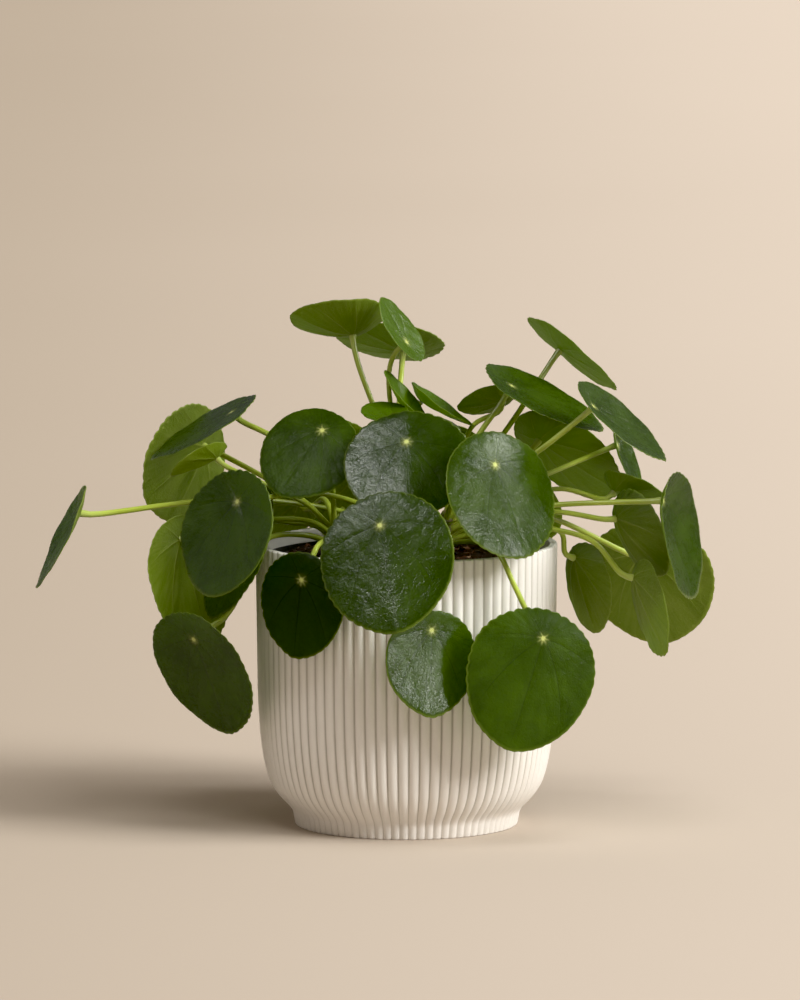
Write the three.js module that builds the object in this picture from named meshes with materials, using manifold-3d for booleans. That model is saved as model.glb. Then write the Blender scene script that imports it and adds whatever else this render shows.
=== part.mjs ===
// Potted pilea plant: a ribbed planter, a growing pot inside it, soil, three stems with their long
// leaf stalks, and the round leaf blades. Millimetres, +Z up. The origin is the centre of the
// planter's flat underside, and the plant's fullest side faces -Y.

import * as THREE from 'three';
import { mergeVertices } from 'three/addons/utils/BufferGeometryUtils.js';
import Module from 'manifold-3d';

const wasm = await Module();
wasm.setup();

// Planter
const POT_HEIGHT = 173;
const POT_RIM_RADIUS = 92.2;
const POT_SHOULDER_RADIUS = 91.2;
const POT_SHOULDER_HEIGHT = 92;
const POT_TURN_RADIUS = 84;
const POT_TURN_HEIGHT = 28;
const POT_FOOT_RADIUS = 69.4;
const POT_FOOT_HEIGHT = 7;
const POT_BASE_RADIUS = 68.3;
const POT_WALL = 4.8;
const POT_FLOOR = 6;
const RIB_COUNT = 84;
const RIB_DEPTH = 1.3;
const RIB_POINTS = 3;
const RIB_TURN = THREE.MathUtils.degToRad(0.9);
const CAVITY_SIDES = 48;

// Growing pot, which stands on the planter's floor
const GAP = 0.3;
const NURSERY_SIDES = 30;
const NURSERY_WALL = 1.3;
const NURSERY_BASE_RADIUS = 63;
const NURSERY_NECK_RADIUS = 83.5;
const NURSERY_LIP_RADIUS = 86;
const NURSERY_LIP_HEIGHT = 8;
const NURSERY_TOP = 165.5;
const DRAIN_HOLES = 6;
const DRAIN_HOLE_RADIUS = 5;
const DRAIN_CIRCLE_RADIUS = 42;

// Soil
const SOIL_SIDES = 30;
const SOIL_EDGE_TOP = 162.5;
const SOIL_MOUND = 4;
const SOIL_LUMP = 1.1;
const SOIL_RINGS = 4;
const ROOT_DEPTH = 26;

// Stems and leaf stalks
const STEM_SIDES = 8;
const STEM_STEPS = 3;
const STALK_SIDES = 5;
const STALK_STEPS = 7;
const STALK_RADIUS = 1.65;
const STALK_ARCH = 5;
const STALK_APPROACH = 8;

// Leaf blades
const BLADE_THICKNESS = 0.9;
const JOINT_GAP = 0.55;
const BLADE_RIM_POINTS = 28;
const BLADE_RING_AT = 0.55;
const BLADE_BACK_SHARE = 0.24;
const BLADE_NOTCH = 0.014;
const BLADE_TIP = 0.035;
const BLADE_TIP_SPREAD = 0.3;

// Each stem stands in the soil at `base` and leans so that its top is over `head`. Its lowest stalk
// leaves it at `lowest`.
const STEMS = {
  stem_main: { base: [-4, 8], head: [-7, 4], top: 214, lowest: 174, radius: 6 },
  stem_left: { base: [-42, -10], head: [-44, -12], top: 186, lowest: 171, radius: 4.5 },
  stem_right: { base: [20, -20], head: [24, -24], top: 196, lowest: 171, radius: 5 },
};

// The leaves, lowest on their stem first. `at` is where the stalk meets the blade. `faces` gives the
// compass bearing of the upper face (0 is -Y, 90 is +X) and its tilt above level. `turn` swings the
// tip away from straight downhill. `back` is the share of the length behind the stalk. `dome` is how
// far the rim falls behind the stalk's point, so a negative dome is a cup. `fold` lifts the two
// halves about the midrib. `rise` is how high the stalk climbs before it bends over. A stalk that
// keeps clear of the planter's rim or of other leaves goes `past` one or more points instead.
const LEAVES = {
  stem_main: [
    { at: [15, -108, 134], faces: [31, 6], turn: -6, long: 63, wide: 63, back: 0.19, dome: -2,
      past: [[10, -95, 181]] },
    { at: [2, 146, 128], faces: [178, 5], turn: -5, long: 84, wide: 80, dome: 4,
      past: [[3, 96, 181]] },
    { at: [-16, -114, 198], faces: [-16, 24], turn: 16, long: 88, wide: 82, dome: 2, rise: 35 },
    { at: [-200, 10, 190], faces: [-84, 26], turn: 4, long: 68, wide: 64, dome: -4,
      past: [[-108, 29, 196]] },
    { at: [-102, -55, 205], faces: [-45, 19], turn: 1, long: 78, wide: 75, dome: -4,
      past: [[-62, -33, 208]] },
    { at: [-30, 112, 200], faces: [-170, 30], turn: 5, long: 66, wide: 62, dome: 4, rise: 35 },
    { at: [-107, 35, 249], faces: [-80, 59], turn: -10, long: 74, wide: 70, dome: -1,
      past: [[-86, 28, 237]] },
    { at: [8, 125, 232], faces: [175, 45], turn: -10, long: 50, wide: 48, dome: 3, rise: 35 },
    { at: [27, 85, 225], faces: [144, 43], turn: -28, long: 44, wide: 40, dome: -4, rise: 35 },
    { at: [0, -60, 242], faces: [-6, 37], turn: 6, long: 74, wide: 78, back: 0.3, dome: 0,
      fold: -0.14, rise: 40 },
    { at: [-35, 60, 229], faces: [180, 46], turn: 59, long: 44, wide: 40, dome: -4, rise: 35 },
    { at: [16, 50, 239], faces: [42, 76], turn: 142, long: 40, wide: 38, dome: 3, rise: 35 },
    { at: [9, 10, 259], faces: [90, 55], turn: -4, long: 46, wide: 42, dome: -6, rise: 25 },
    { at: [-9, -32, 252], faces: [0, 73], turn: -145, long: 30, wide: 28, dome: -3, rise: 25 },
    { at: [1, -8, 254], faces: [77, 40], turn: -169, long: 37, wide: 28, dome: -6, rise: 25 },
    { at: [-2, 78, 282], faces: [169, 63], turn: 104, long: 66, wide: 62, back: 0.38, dome: -6,
      rise: 40 },
    { at: [-33, 25, 298], faces: [-169, 63], turn: 99, long: 60, wide: 58, back: 0.37, dome: -12,
      rise: 45 },
    { at: [0, -2, 296], faces: [66, 34], turn: -177, long: 45, wide: 38, back: 0.32, dome: -2,
      rise: 45 },
  ],
  stem_left: [
    { at: [-63, -90, 162], faces: [-30, -4], turn: -11, long: 65, wide: 57, dome: 4,
      past: [[-55, -76, 178]] },
    { at: [-129, -40, 119], faces: [-45, -23], turn: 7, long: 82, wide: 80, dome: -3,
      past: [[-86, -36, 179], [-98, -30, 153], [-109, -32, 133]] },
    { at: [-139, 20, 172], faces: [-128, -12], turn: -9, long: 82, wide: 76, back: 0.18, dome: 0,
      past: [[-70, 18, 183], [-108, 30, 183]] },
    { at: [-52, 118, 150], faces: [-165, 8], turn: 10, long: 80, wide: 76, dome: 4,
      past: [[-40, 87, 181]] },
    { at: [-94, -15, 191], faces: [-66, 23], turn: 4, long: 86, wide: 80, dome: -2, rise: 20 },
    { at: [-67, 70, 190], faces: [-150, 38], turn: 35, long: 66, wide: 62, dome: -5, rise: 45 },
    { at: [-126, 95, 221], faces: [-130, 7], turn: 61, long: 76, wide: 74, dome: 0,
      past: [[-87, 40, 208]] },
    { at: [-116, 15, 223], faces: [-130, 52], turn: 40, long: 38, wide: 28, dome: -4, fold: 0.2,
      past: [[-84, 6, 207]] },
    { at: [-51, -35, 246], faces: [-19, 35], turn: -26, long: 62, wide: 63, dome: 4, rise: 45 },
  ],
  stem_right: [
    { at: [82, -100, 128], faces: [22, 1], turn: -18, long: 86, wide: 84, back: 0.2, dome: 3,
      past: [[54, -76, 178], [65, -89, 158]] },
    { at: [103, 5, 163], faces: [121, 5], turn: -9, long: 55, wide: 52, back: 0.15, dome: -7,
      past: [[94, -3, 180]] },
    { at: [50, 116, 158], faces: [160, 12], turn: -8, long: 76, wide: 72, dome: 4,
      past: [[42, 87, 181]] },
    { at: [138, -35, 156], faces: [110, 7], turn: -31, long: 60, wide: 54, back: 0.15, dome: -5,
      past: [[89, -24, 184], [114, -31, 177]] },
    { at: [145, 65, 158], faces: [164, 19], turn: -9, long: 82, wide: 84, dome: -3,
      past: [[84, 45, 184]] },
    { at: [128, -10, 189], faces: [123, 13], turn: -41, long: 58, wide: 50, dome: -10,
      past: [[90, -17, 194]] },
    { at: [66, 104, 198], faces: [150, 35], turn: -10, long: 60, wide: 58, dome: 4, rise: 30 },
    { at: [155, -50, 205], faces: [71, 7], turn: 18, long: 78, wide: 70, back: 0.19, dome: -8,
      past: [[90, -32, 200]] },
    { at: [127, 5, 204], faces: [137, 57], turn: -45, long: 40, wide: 36, dome: -8,
      past: [[94, 0, 206]] },
    { at: [129, 25, 230], faces: [77, 23], turn: -10, long: 46, wide: 38, dome: -4,
      past: [[87, 12, 214]] },
    { at: [53, -85, 231], faces: [39, 23], turn: 11, long: 79, wide: 82, back: 0.27, dome: 5,
      rise: 35 },
    { at: [82, 60, 229], faces: [139, 39], turn: -41, long: 78, wide: 74, dome: -4, rise: 35 },
    { at: [113, -40, 261], faces: [75, 48], turn: 12, long: 70, wide: 66, dome: -5,
      past: [[77, -34, 231]] },
    { at: [64, 10, 268], faces: [70, 61], turn: 18, long: 80, wide: 74, dome: -3, rise: 50 },
    { at: [59, 30, 257], faces: [-157, 53], turn: 65, long: 36, wide: 34, dome: -3,
      past: [[41, 18, 243]] },
    { at: [95, 62, 285], faces: [111, 48], turn: -13, long: 69, wide: 64, back: 0.4, dome: -3,
      past: [[59, 27, 236], [83, 56, 268]] },
  ],
};

const COLORS = {
  pot: 0xeee6da,
  nursery: 0x17181a,
  soil: 0x2a1d15,
  stalk: 0x9cae54,
  leaf: 0x33501d,
};

/** A closed geometry as a solid for joining and cutting. */
function toSolid(geometry) {
  const bare = geometry.clone();
  bare.deleteAttribute('normal');
  bare.deleteAttribute('uv');
  const merged = mergeVertices(bare, 1e-4);
  return new wasm.Manifold(new wasm.Mesh({
    numProp: 3,
    vertProperties: new Float32Array(merged.attributes.position.array),
    triVerts: new Uint32Array(merged.index.array),
  }));
}

/** A solid back as a geometry. */
function toGeometry(solid) {
  const mesh = solid.getMesh();
  const geometry = new THREE.BufferGeometry();
  geometry.setAttribute('position', new THREE.BufferAttribute(mesh.vertProperties, 3));
  geometry.setIndex(new THREE.BufferAttribute(mesh.triVerts, 1));
  geometry.computeVertexNormals();
  return geometry;
}

/** A named sub-part. */
function part(name, geometry, color, roughness) {
  const material = new THREE.MeshStandardMaterial({ color, roughness, metalness: 0 });
  const mesh = new THREE.Mesh(geometry, material);
  mesh.name = name;
  return mesh;
}

/** A profile of [radius, height] points turned about Z. */
function turned(profile, sides) {
  const points = profile.map(([radius, height]) => new THREE.Vector2(radius, height));
  return new THREE.LatheGeometry(points, sides).rotateX(Math.PI / 2);
}

/** The planter's outside from foot to rim: a short foot, a round turn and a nearly straight wall. */
function planterProfile() {
  const outline = new THREE.Path();
  outline.moveTo(POT_BASE_RADIUS, 0);
  outline.lineTo(POT_FOOT_RADIUS, POT_FOOT_HEIGHT);
  outline.bezierCurveTo(70.6, 13, 79, 15.5, POT_TURN_RADIUS, POT_TURN_HEIGHT);
  outline.bezierCurveTo(87.2, 37, 90.6, 52, POT_SHOULDER_RADIUS, POT_SHOULDER_HEIGHT);
  outline.lineTo(POT_RIM_RADIUS, POT_HEIGHT);
  return outline.getPoints(3).map(({ x, y }) => [x, y]);
}

/** The ribbed planter with its cavity. */
function planter() {
  const outside = turned(
    [[0, 0], ...planterProfile(), [0, POT_HEIGHT]],
    RIB_COUNT * RIB_POINTS,
  );
  const position = outside.attributes.position;
  for (let i = 0; i < position.count; i += 1) {
    const x = position.getX(i);
    const y = position.getY(i);
    const radius = Math.hypot(x, y);
    if (radius < 1) continue;
    const ribs = ((Math.atan2(y, x) - RIB_TURN) / (2 * Math.PI)) * RIB_COUNT;
    const across = 2 * (ribs - Math.floor(ribs + 1e-4)) - 1;
    const depth = RIB_DEPTH * (radius / POT_RIM_RADIUS);
    const carved = (radius - depth * across * across) / radius;
    position.setX(i, x * carved);
    position.setY(i, y * carved);
  }
  const inner = POT_RIM_RADIUS - POT_WALL;
  const cavity = turned([
    [0, POT_FLOOR],
    [66, POT_FLOOR],
    [76, 20],
    [inner - 2, 45],
    [inner, 100],
    [inner, POT_HEIGHT + 5],
    [0, POT_HEIGHT + 5],
  ], CAVITY_SIDES);
  return toGeometry(toSolid(outside).subtract(toSolid(cavity)));
}

/** A round bar standing on end, for the cuts. */
function upright(x, y, low, high, radius, sides) {
  const bar = new THREE.CylinderGeometry(radius, radius, high - low, sides);
  bar.rotateX(Math.PI / 2);
  bar.translate(x, y, (low + high) / 2);
  return toSolid(bar);
}

/** The thin growing pot: a tapered cup with a lip and drain holes. */
function nurseryPot() {
  const floor = POT_FLOOR + GAP;
  const lipBottom = NURSERY_TOP - NURSERY_LIP_HEIGHT;
  const cup = turned([
    [0, floor],
    [NURSERY_BASE_RADIUS, floor],
    [NURSERY_NECK_RADIUS, lipBottom - 2],
    [NURSERY_LIP_RADIUS, lipBottom],
    [NURSERY_LIP_RADIUS, NURSERY_TOP],
    [NURSERY_LIP_RADIUS - NURSERY_WALL, NURSERY_TOP],
    [NURSERY_LIP_RADIUS - NURSERY_WALL, lipBottom + 1],
    [NURSERY_NECK_RADIUS - NURSERY_WALL, lipBottom - 1],
    [NURSERY_BASE_RADIUS - NURSERY_WALL, floor + NURSERY_WALL],
    [0, floor + NURSERY_WALL],
  ], NURSERY_SIDES);
  let solid = toSolid(cup);
  for (let i = 0; i < DRAIN_HOLES; i += 1) {
    const angle = (i / DRAIN_HOLES) * 2 * Math.PI;
    const x = DRAIN_CIRCLE_RADIUS * Math.cos(angle);
    const y = DRAIN_CIRCLE_RADIUS * Math.sin(angle);
    solid = solid.subtract(upright(x, y, floor - 2, floor + 4, DRAIN_HOLE_RADIUS, 8));
  }
  return toGeometry(solid);
}

/** Height of the soil's lumpy top at a distance and angle from the pot's axis. */
function soilTop(radius, angle) {
  const share = radius / (NURSERY_LIP_RADIUS - NURSERY_WALL - GAP);
  const lumps = Math.sin(3 * angle + radius * 0.21) * Math.cos(5 * angle - radius * 0.13)
    + 0.6 * Math.sin(11 * angle + radius * 0.4);
  return SOIL_EDGE_TOP + SOIL_MOUND * (1 - share * share) + SOIL_LUMP * lumps * share;
}

/** The soil, with a plain hole for each stem. */
function soil() {
  const edge = NURSERY_LIP_RADIUS - NURSERY_WALL - GAP;
  const lipBottom = NURSERY_TOP - NURSERY_LIP_HEIGHT;
  const bottom = POT_FLOOR + NURSERY_WALL + 2 * GAP;
  const profile = [
    [0, bottom],
    [NURSERY_BASE_RADIUS - NURSERY_WALL - GAP, bottom],
    [NURSERY_NECK_RADIUS - NURSERY_WALL - GAP, lipBottom - 1],
    [edge, lipBottom + 1 + GAP],
    [edge, SOIL_EDGE_TOP],
  ];
  for (let ring = SOIL_RINGS - 1; ring > 0; ring -= 1) {
    profile.push([(edge * ring) / SOIL_RINGS, POT_HEIGHT]);
  }
  profile.push([0, POT_HEIGHT]);
  const body = turned(profile, SOIL_SIDES);
  const position = body.attributes.position;
  for (let i = 0; i < position.count; i += 1) {
    if (position.getZ(i) < POT_HEIGHT - 1e-3) continue;
    const x = position.getX(i);
    const y = position.getY(i);
    position.setZ(i, soilTop(Math.hypot(x, y), Math.atan2(y, x)));
  }
  let solid = toSolid(body);
  for (const stem of Object.values(STEMS)) {
    const hole = stemLine(stem, SOIL_EDGE_TOP - ROOT_DEPTH - GAP);
    solid = solid.subtract(sweep(hole, stem.radius + 1.5 * GAP, 12, 1));
  }
  return toGeometry(solid);
}

/** The directions of a blade: out of its upper face, towards its tip, and across. */
function bladeFrame({ faces, turn }) {
  const bearing = THREE.MathUtils.degToRad(faces[0]);
  const tilt = THREE.MathUtils.degToRad(faces[1]);
  const out = new THREE.Vector3(
    Math.cos(tilt) * Math.sin(bearing),
    -Math.cos(tilt) * Math.cos(bearing),
    Math.sin(tilt),
  );
  const tip = new THREE.Vector3(0, 0, -1).projectOnPlane(out).normalize();
  tip.applyAxisAngle(out, THREE.MathUtils.degToRad(turn));
  const across = new THREE.Vector3().crossVectors(out, tip);
  return { out, tip, across };
}

/** The rim of a blade from above, seen from the stalk's point: [towards the tip, across]. */
function bladeRim({ long, wide, back = BLADE_BACK_SHARE }, index) {
  const angle = (index / BLADE_RIM_POINTS) * 2 * Math.PI;
  const swing = Math.atan2(Math.sin(angle), Math.cos(angle));
  const notch = 1 + (index % 2 ? BLADE_NOTCH : -BLADE_NOTCH);
  const point = BLADE_TIP * Math.exp(-((swing / BLADE_TIP_SPREAD) ** 2));
  const along = (0.5 - back) * long + 0.5 * long * (Math.cos(angle) + point) * notch;
  const side = 0.5 * wide * Math.sin(angle) * (1 - 0.07 * Math.cos(angle)) * notch;
  return [along, side];
}

/** How far a blade's surface stands out of its flat plane. */
function bladeLift({ dome, fold = 0 }, share, side) {
  return -dome * share ** 1.6 + fold * Math.abs(side);
}

/** One blade: a thin cut-edged disc, alike on both faces. */
function blade(leaf) {
  const { out, tip, across } = bladeFrame(leaf);
  const origin = new THREE.Vector3(...leaf.at);
  const ringPoints = BLADE_RIM_POINTS / 2;
  const vertices = [];
  const place = (along, side, lift) => {
    const spot = origin.clone().addScaledVector(tip, along);
    spot.addScaledVector(across, side).addScaledVector(out, lift);
    vertices.push(spot.x, spot.y, spot.z);
  };
  for (const face of [0.5, -0.5]) {
    const offset = face * BLADE_THICKNESS;
    place(0, 0, offset);
    for (let i = 0; i < ringPoints; i += 1) {
      const [along, side] = bladeRim(leaf, 2 * i).map((value) => value * BLADE_RING_AT);
      place(along, side, bladeLift(leaf, BLADE_RING_AT, side) + offset);
    }
    for (let i = 0; i < BLADE_RIM_POINTS; i += 1) {
      const [along, side] = bladeRim(leaf, i);
      place(along, side, bladeLift(leaf, 1, side) + offset);
    }
  }
  const faceCount = 1 + ringPoints + BLADE_RIM_POINTS;
  const triangles = [];
  for (let i = 0; i < ringPoints; i += 1) {
    const ring = 1 + i;
    const ringNext = 1 + ((i + 1) % ringPoints);
    const rim = 1 + ringPoints + 2 * i;
    const rimMiddle = rim + 1;
    const rimNext = 1 + ringPoints + ((2 * i + 2) % BLADE_RIM_POINTS);
    triangles.push([0, ring, ringNext]);
    triangles.push([ring, rim, rimMiddle]);
    triangles.push([ring, rimMiddle, ringNext]);
    triangles.push([ringNext, rimMiddle, rimNext]);
  }
  const index = [];
  for (const [a, b, c] of triangles) {
    index.push(a, b, c);
    index.push(a + faceCount, c + faceCount, b + faceCount);
  }
  for (let i = 0; i < BLADE_RIM_POINTS; i += 1) {
    const here = 1 + ringPoints + i;
    const next = 1 + ringPoints + ((i + 1) % BLADE_RIM_POINTS);
    index.push(here, here + faceCount, next + faceCount);
    index.push(here, next + faceCount, next);
  }
  const geometry = new THREE.BufferGeometry();
  geometry.setAttribute('position', new THREE.Float32BufferAttribute(vertices, 3));
  geometry.setIndex(index);
  geometry.computeVertexNormals();
  return geometry;
}

/** A regular outline for a stem or a stalk. */
function roundShape(radius, sides) {
  const corners = [];
  for (let i = 0; i < sides; i += 1) {
    const angle = (i / sides) * 2 * Math.PI;
    corners.push(new THREE.Vector2(radius * Math.cos(angle), radius * Math.sin(angle)));
  }
  return new THREE.Shape(corners);
}

/** A bar along a curve, closed at both ends. */
function sweep(curve, radius, sides, steps) {
  return toSolid(new THREE.ExtrudeGeometry(roundShape(radius, sides), {
    steps,
    bevelEnabled: false,
    extrudePath: curve,
  }));
}

/** The point on a leaning stem at a height. */
function stemPoint({ base, head, top }, height) {
  const share = (height - SOIL_EDGE_TOP) / (top - SOIL_EDGE_TOP);
  const x = THREE.MathUtils.lerp(base[0], head[0], share);
  const y = THREE.MathUtils.lerp(base[1], head[1], share);
  return new THREE.Vector3(x, y, height);
}

/** The curve of one stalk: up out of the stem, over, and square into the back of its blade. */
function stalkCurve(leaf, root) {
  const { out } = bladeFrame(leaf);
  const end = new THREE.Vector3(...leaf.at).addScaledVector(out, -(BLADE_THICKNESS / 2 + JOINT_GAP));
  if (leaf.past) {
    const points = leaf.past.map((point) => new THREE.Vector3(...point));
    const climb = root.clone().lerp(points[0], 0.4);
    climb.z += STALK_ARCH;
    const approach = end.clone().addScaledVector(out, -STALK_APPROACH);
    return new THREE.CatmullRomCurve3([root, climb, ...points, approach, end], false, 'centripetal');
  }
  const span = end.clone().sub(root);
  const climb = root.clone().addScaledVector(span, 0.3).setZ(root.z + leaf.rise);
  const bend = end.clone().addScaledVector(out, -Math.min(0.3 * span.length(), 28));
  return new THREE.CubicBezierCurve3(root, climb, bend, end);
}

/** The middle line of a stem, from a depth in the soil to its top. */
function stemLine(stem, low) {
  return new THREE.LineCurve3(stemPoint(stem, low), stemPoint(stem, stem.top));
}

/** A stem with all its stalks, grown as one. */
function leafyStem(stem, leaves) {
  const line = stemLine(stem, SOIL_EDGE_TOP - ROOT_DEPTH);
  let solid = sweep(line, stem.radius, STEM_SIDES, STEM_STEPS);
  leaves.forEach((leaf, i) => {
    const share = leaves.length > 1 ? i / (leaves.length - 1) : 0;
    const root = stemPoint(stem, THREE.MathUtils.lerp(stem.lowest, stem.top - 4, share));
    solid = solid.add(sweep(stalkCurve(leaf, root), STALK_RADIUS, STALK_SIDES, STALK_STEPS));
  });
  return toGeometry(solid);
}

const plant = new THREE.Group();
plant.add(part('pot', planter(), COLORS.pot, 0.6));
plant.add(part('nursery_pot', nurseryPot(), COLORS.nursery, 0.5));
plant.add(part('soil', soil(), COLORS.soil, 0.95));

let leafNumber = 0;
for (const [name, stem] of Object.entries(STEMS)) {
  plant.add(part(name, leafyStem(stem, LEAVES[name]), COLORS.stalk, 0.5));
  for (const leaf of LEAVES[name]) {
    leafNumber += 1;
    const label = `leaf_${String(leafNumber).padStart(2, '0')}`;
    plant.add(part(label, blade(leaf), COLORS.leaf, 0.35));
  }
}

export default plant;
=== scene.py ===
"""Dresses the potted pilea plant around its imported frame: fine pieces, finishes, light and camera.

Sizes in the classes are millimetres, as in the part's source. Meshes are written in metres.
"""

import logging
import math
from dataclasses import dataclass, field
from enum import Enum
from typing import Any, Optional, Sequence, Union

import bpy
import numpy as np
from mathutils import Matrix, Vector


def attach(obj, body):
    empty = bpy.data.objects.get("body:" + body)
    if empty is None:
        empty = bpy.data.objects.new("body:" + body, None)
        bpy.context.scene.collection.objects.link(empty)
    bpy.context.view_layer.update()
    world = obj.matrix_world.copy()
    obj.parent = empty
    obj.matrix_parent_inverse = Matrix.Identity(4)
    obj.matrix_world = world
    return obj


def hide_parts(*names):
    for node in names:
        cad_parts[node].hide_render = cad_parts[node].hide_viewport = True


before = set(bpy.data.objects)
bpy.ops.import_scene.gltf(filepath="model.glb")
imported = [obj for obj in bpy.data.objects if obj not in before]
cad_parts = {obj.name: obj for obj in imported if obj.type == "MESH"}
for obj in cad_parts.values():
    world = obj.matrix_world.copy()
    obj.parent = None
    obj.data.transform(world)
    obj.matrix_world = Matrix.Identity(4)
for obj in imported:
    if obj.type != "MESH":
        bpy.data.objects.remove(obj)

LOG = logging.getLogger("potted_pilea")
MM = 0.001
TURN = 2 * math.pi
SEED = 4127
# the range that most of a noise texture's values lie in
USUAL = (0.3, 0.7)

Colour = tuple[float, float, float]
Point = tuple[float, float, float]


class Slot(Enum):
    """The record's material slots."""

    POT = "pot"
    NURSERY = "nursery_pot"
    SOIL = "soil"
    STALK = "stalk"
    LEAF = "leaf"


# Shader expressions


class Wire:
    """A socket of a node tree that takes part in Python expressions."""

    def __init__(self, tree: "NodeBoard", socket: bpy.types.NodeSocket) -> None:
        """Wraps a socket.

        Args:
            tree: the board that new nodes go on.
            socket: the output that this wire carries.
        """
        self.tree = tree
        self.socket = socket

    def _math(self, operation: str, *values: "Operand") -> "Wire":
        """Adds one Math node and returns its result."""
        return self.tree.add("ShaderNodeMath", {"operation": operation}, dict(enumerate(values)))

    def __add__(self, other: "Operand") -> "Wire":
        """self + other"""
        return self._math("ADD", self, other)

    __radd__ = __add__

    def __sub__(self, other: "Operand") -> "Wire":
        """self - other"""
        return self._math("SUBTRACT", self, other)

    def __rsub__(self, other: "Operand") -> "Wire":
        """other - self"""
        return self._math("SUBTRACT", other, self)

    def __mul__(self, other: "Operand") -> "Wire":
        """self * other"""
        return self._math("MULTIPLY", self, other)

    __rmul__ = __mul__

    def __truediv__(self, other: "Operand") -> "Wire":
        """self / other"""
        return self._math("DIVIDE", self, other)

    def __rtruediv__(self, other: "Operand") -> "Wire":
        """other / self"""
        return self._math("DIVIDE", other, self)

    def __pow__(self, other: "Operand") -> "Wire":
        """self ** other"""
        return self._math("POWER", self, other)

    def __abs__(self) -> "Wire":
        """abs(self)"""
        return self._math("ABSOLUTE", self)

    def least(self, other: "Operand") -> "Wire":
        """The smaller of two values."""
        return self._math("MINIMUM", self, other)

    def most(self, other: "Operand") -> "Wire":
        """The larger of two values."""
        return self._math("MAXIMUM", self, other)

    def angle_to(self, other: "Operand") -> "Wire":
        """atan2(self, other)"""
        return self._math("ARCTAN2", self, other)

    def span(self, low: float, high: float, to_low: float = 0.0, to_high: float = 1.0) -> "Wire":
        """Maps low..high smoothly on to_low..to_high, held at both ends.

        Args:
            low: the value that becomes to_low.
            high: the value that becomes to_high.
            to_low: the result at low.
            to_high: the result at high.

        Returns:
            The mapped value.
        """
        settings = {"interpolation_type": "SMOOTHSTEP"}
        values = {"Value": self, "From Min": low, "From Max": high, "To Min": to_low, "To Max": to_high}
        return self.tree.add("ShaderNodeMapRange", settings, values)


Operand = Union[Wire, float, int]


class NodeBoard:
    """A node tree under construction."""

    def __init__(self, tree: bpy.types.NodeTree) -> None:
        """Takes an empty tree."""
        self.tree = tree

    def node(
        self, kind: str, settings: Optional[dict] = None, values: Optional[dict] = None
    ) -> bpy.types.Node:
        """Adds a node.

        Args:
            kind: the node's type name.
            settings: properties that are set before the sockets; "stops" fills a colour ramp.
            values: socket name or number to a value or a wire.

        Returns:
            The new node.
        """
        made = self.tree.nodes.new(kind)
        for name, value in (settings or {}).items():
            if name == "stops":
                self._fill_ramp(made.color_ramp, value)
            else:
                setattr(made, name, value)
        for name, value in (values or {}).items():
            target = made.inputs[name]
            if isinstance(value, Wire):
                self.tree.links.new(value.socket, target)
            else:
                target.default_value = value
        return made

    def add(
        self,
        kind: str,
        settings: Optional[dict] = None,
        values: Optional[dict] = None,
        output: Union[int, str] = 0,
    ) -> Wire:
        """Adds a node as node() does and returns one of its outputs as a wire."""
        return self.wires(self.node(kind, settings, values), output)[0]

    def wires(self, node: bpy.types.Node, *outputs: Union[int, str]) -> list[Wire]:
        """The named or numbered outputs of a node."""
        return [Wire(self, node.outputs[output]) for output in outputs]

    @staticmethod
    def _fill_ramp(ramp: bpy.types.ColorRamp, stops: Sequence[tuple[float, Colour]]) -> None:
        """Gives a colour ramp its stops.

        Args:
            ramp: the new node's ramp.
            stops: each stop's place and colour.
        """
        while len(ramp.elements) < len(stops):
            ramp.elements.new(1.0)
        for element, (place, colour) in zip(ramp.elements, stops):
            element.position = place
            element.color = (*colour, 1.0)


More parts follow.
